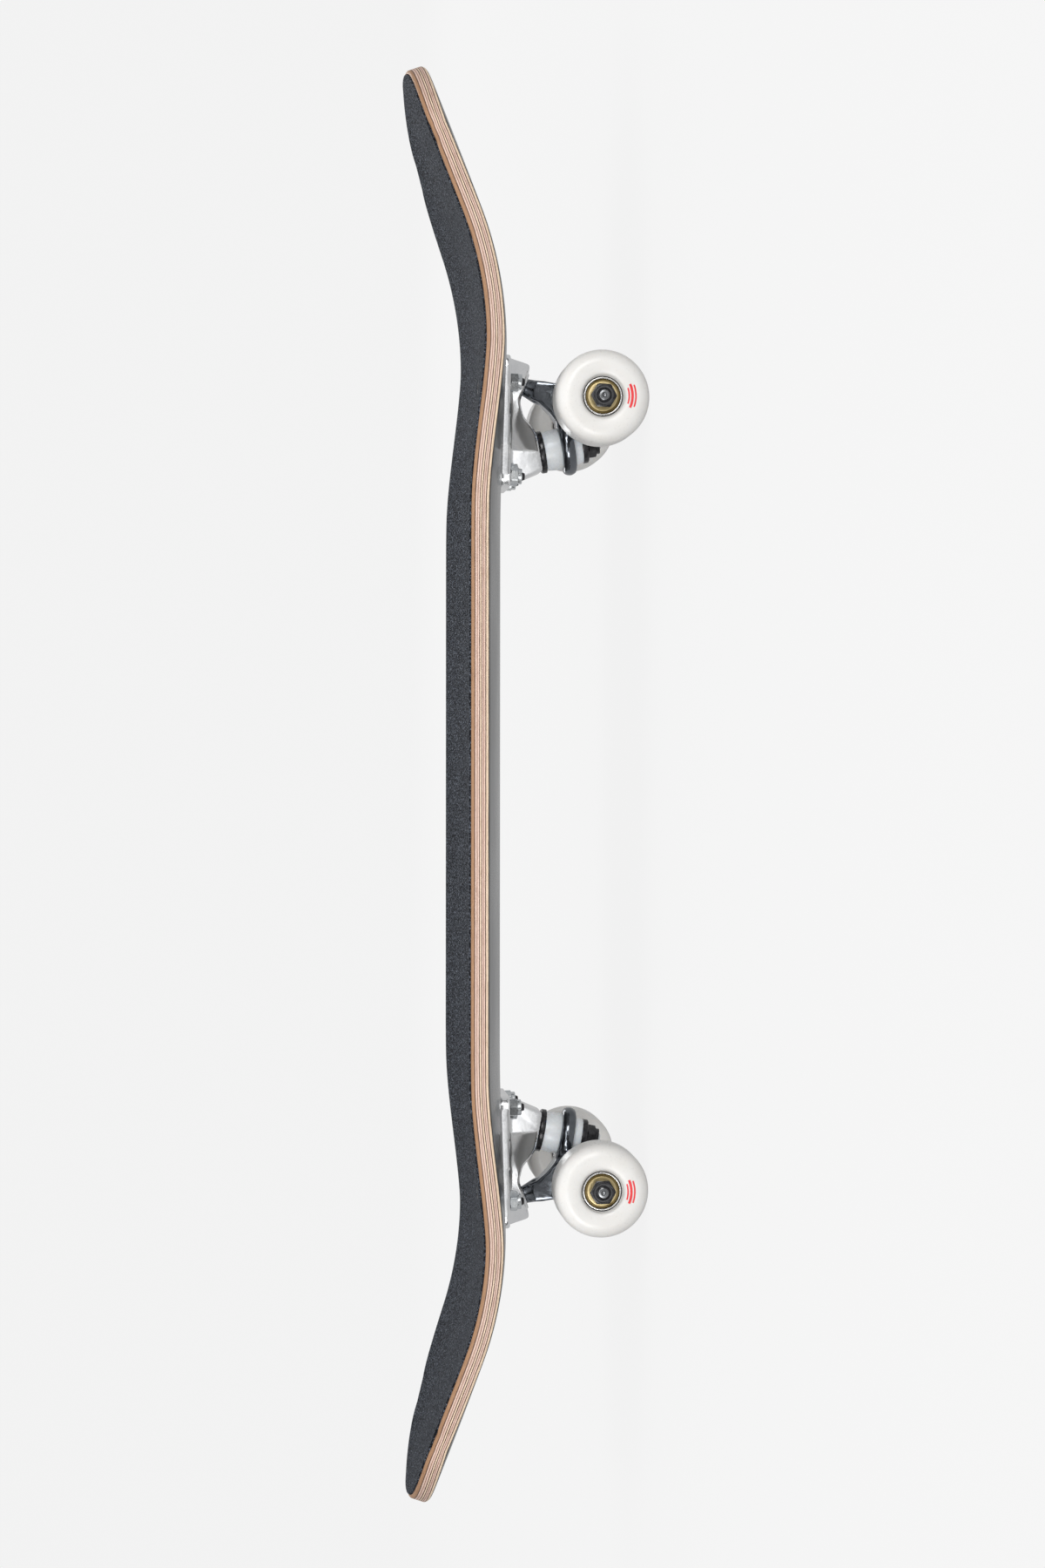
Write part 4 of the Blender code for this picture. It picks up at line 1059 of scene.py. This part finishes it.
def axle_mesh():
    """Axle rod with threaded ends and a centre dimple in each end face.  Slots: rod, thread painted black as
    shade, end face.
    """
    end = AXLE_HALF_LENGTH
    half = thread(AXLE_RADIUS, 90 * MM, end - 0.8 * MM, 1.06 * MM, 0.4 * MM)
    half += [(AXLE_RADIUS - 0.5 * MM, end - 0.5 * MM), (2.75 * MM, end - 0.1 * MM), (2.5 * MM, end),
             (1.35 * MM, end), (0.9 * MM, end - 0.8 * MM), (0, end - 1.2 * MM)]
    profile = [(AXLE_RADIUS, 0), *half]
    profile = [(r, -z) for r, z in reversed(half)] + profile

    # Slot 1 is painted shade: the threads and the chamfer round the end face are painted black for the dark
    # ring there.
    def finish_and_painted_shade_of(i):
        (r0, z0), (r1, z1) = profile[i], profile[i + 1]
        if min(abs(z0), abs(z1)) < 89 * MM:
            return 0
        return 1 if max(r0, r1) > 2.8 * MM else 2

    return to_mesh("axle_rod", turned(profile, 48, ring=False, material=finish_and_painted_shade_of))


def speed_washer_mesh():
    return to_mesh("speed_washer", turned(ring_section(4.2 * MM, 5.9 * MM, 0, 0.85 * MM), 64))


def spacer_mesh():
    half = 4.9 * MM
    section = ring_section(4.15 * MM, 5.0 * MM, -half, half, outer_corner=0.3 * MM)
    return to_mesh("bearing_spacer_tube", turned(section, 48))


# ---------------- assembly

def make_board_hardware(name, matrix, kinds, side_names):
    """The pieces of a truck that stay with the deck."""
    def fit(piece, kind, node, local=Matrix.Identity(4)):
        new_piece(f"{name}_{piece}", kinds[kind], "board", [f"{name}_{node}"], matrix @ local)

    fit("baseplate_casting", "baseplate", "baseplate")
    fit("pivot_cup_moulding", "pivot_cup", "pivot_cup", PIVOT_FRAME)
    fit("kingpin_bolt", "kingpin", "kingpin", KINGPIN_FRAME)
    fit("kingpin_lock_nut", "kingpin_nut", "kingpin_nut", KINGPIN_FRAME @ lifted(KINGPIN_NUT_START))
    fit("board_washer", "board_washer", "board_cup_washer", KINGPIN_FRAME @ lifted(BOARD_WASHER_START))
    fit("road_washer", "road_washer", "road_cup_washer", KINGPIN_FRAME @ lifted(ROAD_WASHER_START))
    top, bottom = RING_FACES
    for row, washer_rim, ring_face in (("board", BOARD_WASHER_START + CUP_WASHER_HEIGHT, top),
                                       ("road", ROAD_WASHER_START, bottom)):
        mesh, *finish = kinds[f"{row}_bushing"]
        bushing = new_piece(f"{name}_{row}_bushing_casting", (mesh.copy(), *finish), None,
                            [f"{name}_{row}_bushing"], matrix @ KINGPIN_FRAME)
        start, end = (matrix @ (SEAT + KINGPIN_DOWN * reach) for reach in (washer_rim, ring_face))
        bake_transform(bushing)
        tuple(start)
        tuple(end)
    for outward, side, position in bolt_places():
        row = "outer" if outward == 1 else "inner"
        spot = f"{row}_{side_names[side]}"
        fit(f"mounting_bolt_{spot}", f"{row}_bolt", f"bolt_{spot}", Matrix.Translation(position))
        turn = Matrix.Rotation(radians(18 * outward + 11 * side), 4, "Z")
        fit(f"mounting_nut_{spot}", "bolt_nut", f"locknut_{spot}",
            along(position + Vector((0, 0, nut_top(outward))), Vector((0, 0, -1))) @ turn)


def make_hanger(name, matrix, kinds, side_names):
    """The hanger with its axle and washers, and the wheels on their own bodies."""
    body = f"{name}_hanger_assembly"
    new_piece(f"{name}_hanger_casting", kinds["hanger"], body, [f"{name}_hanger"], matrix)
    new_piece(f"{name}_axle_rod", kinds["axle"], body, [f"{name}_axle"], matrix @ across(AXLE, 1))
    for side in (1, -1):
        end = f"{name}_{side_names[side]}"
        outward = matrix @ across(AXLE, side)
        new_piece(f"{end}_axle_lock_nut", kinds["axle_nut"], body, [f"{end}_axle_nut"],
                  outward @ lifted(AXLE_NUT_START))
        new_piece(f"{end}_spacer_tube", kinds["spacer"], body, [f"{end}_spacer"], outward @ lifted(WHEEL_Y))
        for place, start in SPEED_WASHER_STARTS.items():
            new_piece(f"{end}_{place}_speed_washer", kinds["speed_washer"], body, [], outward @ lifted(start))
        make_wheel(end, outward @ lifted(WHEEL_Y), kinds)


def make_wheel(end, centre, kinds):
    """The wheel at an end of an axle, with its print and bearings, which turn as one."""
    body = f"{end}_wheel_assembly"
    new_piece(f"{end}_wheel_casting", kinds["wheel"], body, [f"{end}_wheel"], centre)
    down = (centre.inverted().to_3x3() @ Vector((0, 0, -1))).to_2d()
    print_turn = Matrix.Rotation(atan2(down.y, down.x), 4, "Z")
    new_piece(f"{end}_wheel_print", kinds["print"], body, [], centre @ print_turn)
    for place, height in (("inner", -BEARING_CENTRE), ("outer", BEARING_CENTRE)):
        new_piece(f"{end}_{place}_shielded_bearing", kinds["bearing"], body, [f"{end}_{place}_bearing"],
                  centre @ lifted(height))


def shared_kinds():
    """Each kind of piece that repeats: its mesh, its materials and its slot."""
    top, bottom = RING_FACES
    bolt_length = BOLT_NUT_HEIGHT + 1.7 * MM
    rods = (KINGPIN_RADIUS, BOLT_RADIUS, AXLE_RADIUS)
    kingpin_bore, bolt_bore, axle_bore = (radius + 0.1 * MM for radius in rods)
    cast = "cast_aluminium"
    zinc = (("zinc",), "zinc_steel")
    black = (("black",), "black_steel")
    black_nut = (("black", "nylon"), "black_steel")
    bushing = (("bushing",), "bushing_urethane")
    return {
        "baseplate": (baseplate_mesh(), ("plate",), cast),
        "hanger": (hanger_mesh(), ("hanger",), cast),
        "pivot_cup": (pivot_cup_mesh(), ("cup",), "cup_urethane"),
        "kingpin": (kingpin_mesh(), *zinc),
        "kingpin_nut": (lock_nut_mesh("kingpin_lock_nut", KINGPIN_FLATS, 6.9 * MM, kingpin_bore, 1.9 * MM),
                        *black_nut),
        "board_washer": (cup_washer_mesh("board_washer", 12.3 * MM, CUP_WASHER_HEIGHT, True), *black),
        "road_washer": (cup_washer_mesh("road_washer", 10.8 * MM, CUP_WASHER_HEIGHT, False), *black),
        "board_bushing": (bushing_mesh("board_bushing_casting", 1.75 * MM, top + BUSHING_SEAT,
                                       (10.7, 11.35, 11.7, 11.75, 11.6), 1.2 * MM), *bushing),
        "road_bushing": (bushing_mesh("road_bushing_casting", bottom - BUSHING_SEAT, 26.7 * MM,
                                      (11.0, 10.7, 9.9), 0.8 * MM), *bushing),
        "outer_bolt": (bolt_mesh("outer_mounting_bolt", nut_top(1) - bolt_length), *black),
        "inner_bolt": (bolt_mesh("inner_mounting_bolt", nut_top(-1) - bolt_length), *black),
        "bolt_nut": (lock_nut_mesh("mounting_nut", BOLT_NUT_FLATS, BOLT_NUT_HEIGHT, bolt_bore, 2.2 * MM),
                     ("zinc", "pale_nylon"), "zinc_steel"),
        "axle": (axle_mesh(), ("zinc", "black", "steel_end"), "zinc_steel"),
        "axle_nut": (lock_nut_mesh("axle_lock_nut", 12.7 * MM, 6.0 * MM, axle_bore, 1.8 * MM), *black_nut),
        "spacer": (spacer_mesh(), *zinc),
        "speed_washer": (speed_washer_mesh(), *zinc),
        "wheel": (wheel_mesh(), ("wheel",), "wheel_urethane"),
        "print": (print_mesh("wheel_print"), ("red",), "wheel_urethane"),
        "bearing": (bearing_mesh(), ("silver", "gold", "painted_shade_groove", "black"), "bearing_steel"),
    }


def make_object():
    make_deck()
    kinds = shared_kinds()
    for name, matrix in TRUCKS.items():
        side_names = {1: "left", -1: "right"} if name == "front" else {1: "right", -1: "left"}
        make_board_hardware(name, matrix, kinds, side_names)
        make_hanger(name, matrix, kinds, side_names)


# ---------------- stage, light and camera

def mix_to_output(tree, factor, first, second, output):
    """Send a mix of two shader nodes to the output node."""
    mixed = add_node(tree, "ShaderNodeMixShader", Fac=factor)
    for place, node in ((1, first), (2, second)):
        tree.links.new(node.outputs[0], mixed.inputs[place])
    connect(tree, tree.nodes[output], Surface=mixed.outputs[0])


FLOOR_TONE = 0.865                   # the tone of the paper, most of it given off so that it stays even
FLOOR_GLOW = 0.48                    # what the paper sends to the object
# In front of the board the paper has a bright pool in the middle, seen in the inner sides of the castings
POOL = [(0.0, 1.7), (0.15, 1.7), (0.19, 0.22), (0.25, 0.22), (0.32, 0.42), (0.45, 0.42), (0.56, 0.10),
        (1.0, 0.10)]
POOL_START = (0.25, 0.35)            # from the board towards the camera
FAR_GLOW = 0.95                      # and it is lighter further out, seen in the upright edges
FAR_START = (0.80, 0.95)


def make_stage():
    """A pale floor that sweeps up behind the object; it can't be seen from below."""
    near, back, radius, half_width = -5.0, 3.4, 1.0, 7.0
    side = [(near, 0.0), (back - radius, 0.0)]
    side += [(back - radius + radius * sin(a), radius * (1 - cos(a)))
             for a in arc(24)[1:]]
    side.append((back, 6.0))
    sweep = bmesh.new()
    left = [sweep.verts.new((-half_width, y, z)) for y, z in side]
    right = [sweep.verts.new((half_width, y, z)) for y, z in side]
    for i in range(len(side) - 1):
        sweep.faces.new((left[i], right[i], right[i + 1], left[i + 1]))
    mesh = bpy.data.meshes.new("studio_sweep")
    sweep.to_mesh(mesh)
    sweep.free()
    mesh.shade_smooth()
    floor = in_scene("studio_sweep", mesh)
    material, tree, shader = shader_graph("pale_studio_paper")
    place = add_node(tree, "ShaderNodeTexCoord").outputs["Object"]
    split = add_node(tree, "ShaderNodeSeparateXYZ", Vector=place)
    sideways = arithmetic(tree, "ABSOLUTE", split.outputs["X"])
    ahead = arithmetic(tree, "MULTIPLY", split.outputs["Y"], -1.0)
    pool = ramp(tree, sideways, POOL)
    glow = (FLOOR_GLOW,) * 3
    for (start, end), tone in ((POOL_START, pool), (FAR_START, (FAR_GLOW,) * 3)):
        reached = ramp(tree, ahead, [(start, 0.0), (end, 1.0)])
        glow = blend_colours(tree, reached, glow, tone)
    seen = add_node(tree, "ShaderNodeLightPath").outputs["Is Camera Ray"]
    given_off = blend_colours(tree, seen, glow, (FLOOR_TONE,) * 3)
    connect(tree, shader, Base_Color=(0.04, 0.04, 0.04, 1), Roughness=1.0, Specular_IOR_Level=0.0,
            Emission_Color=(1, 1, 1, 1), Emission_Strength=given_off)
    side_seen = add_node(tree, "ShaderNodeNewGeometry")
    clear = add_node(tree, "ShaderNodeBsdfTransparent")
    mix_to_output(tree, side_seen.outputs["Backfacing"], shader, clear, "Material Output")
    mesh.materials.append(material)


# The room's tone from straight down (0) over the horizon (0.5) to straight up (1)
ROOM_TONES = [(0.0, 0.55), (0.42, 0.30), (0.50, 0.10), (0.56, 0.16), (0.66, 0.55), (1.0, 0.8)]


def make_world():
    """A pale room that is darker in a band round the horizon, so that metal shows its form."""
    world = bpy.data.worlds.new("studio")
    bpy.context.scene.world = world
    world.use_nodes = True
    tree = world.node_tree
    direction = add_node(tree, "ShaderNodeTexCoord").outputs["Generated"]
    height = add_node(tree, "ShaderNodeSeparateXYZ", Vector=direction).outputs["Z"]
    level = add_node(tree, "ShaderNodeMapRange", Value=height)
    level.inputs["From Min"].default_value = -1.0
    tone = ramp(tree, level.outputs["Result"], ROOM_TONES)
    connect(tree, tree.nodes["Background"], Color=tone)
    pale = add_node(tree, "ShaderNodeBackground", Color=(0.90, 0.90, 0.90, 1), Strength=1.0)
    seen = add_node(tree, "ShaderNodeLightPath").outputs["Is Camera Ray"]
    mix_to_output(tree, seen, tree.nodes["Background"], pale, "World Output")


def add_light(name, position, target, size, power):
    light = bpy.data.lights.new(name, "AREA")
    light.shape = "RECTANGLE"
    light.size, light.size_y = size
    light.energy = power
    obj = in_scene(name, light)
    obj.location = position
    obj.rotation_euler = (Vector(target) - Vector(position)).to_track_quat("-Z", "Y").to_euler()


def make_lights():
    middle = (0, 0, 0.06)
    add_light("overhead_softbox", (0.2, -0.5, 1.9), middle, (2.2, 1.2), 12.5)
    for side in (1, -1):
        add_light("side_softbox", (1.15 * side, -2.0, 0.35), middle, (0.9, 0.8), 17)
    add_light("front_softbox", (0, -2.3, 1.25), middle, (1.8, 0.6), 9)
    add_light("back_softbox", (0.4, 1.8, 1.0), middle, (1.6, 0.8), 10)


CAMERA_PLACE = (0.0257, -1.8824, 0.2265)
CAMERA_LENS = 74.93
CAMERA_TURNS = ((0.01, "Z"), (5.0, "Y"), (0.75, "X"))    # degrees: roll, tilt and swing


def make_camera():
    """A long lens level with the board, rolled so that the nose points up in the picture."""
    data = bpy.data.cameras.new("camera")
    data.lens = CAMERA_LENS
    data.sensor_width = 36.0
    camera = in_scene("camera", data)
    aim = Matrix(((0, 0, -1), (1, 0, 0), (0, -1, 0)))
    for degrees, axis in reversed(CAMERA_TURNS):
        aim = Matrix.Rotation(radians(degrees), 3, axis) @ aim
    camera.matrix_world = Matrix.Translation(CAMERA_PLACE) @ aim.transposed().to_4x4()
    bpy.context.scene.camera = camera


make_object()
make_stage()
make_world()
make_lights()
make_camera()
bpy.context.scene.view_settings.view_transform = "Standard"
bpy.context.view_layer.update()
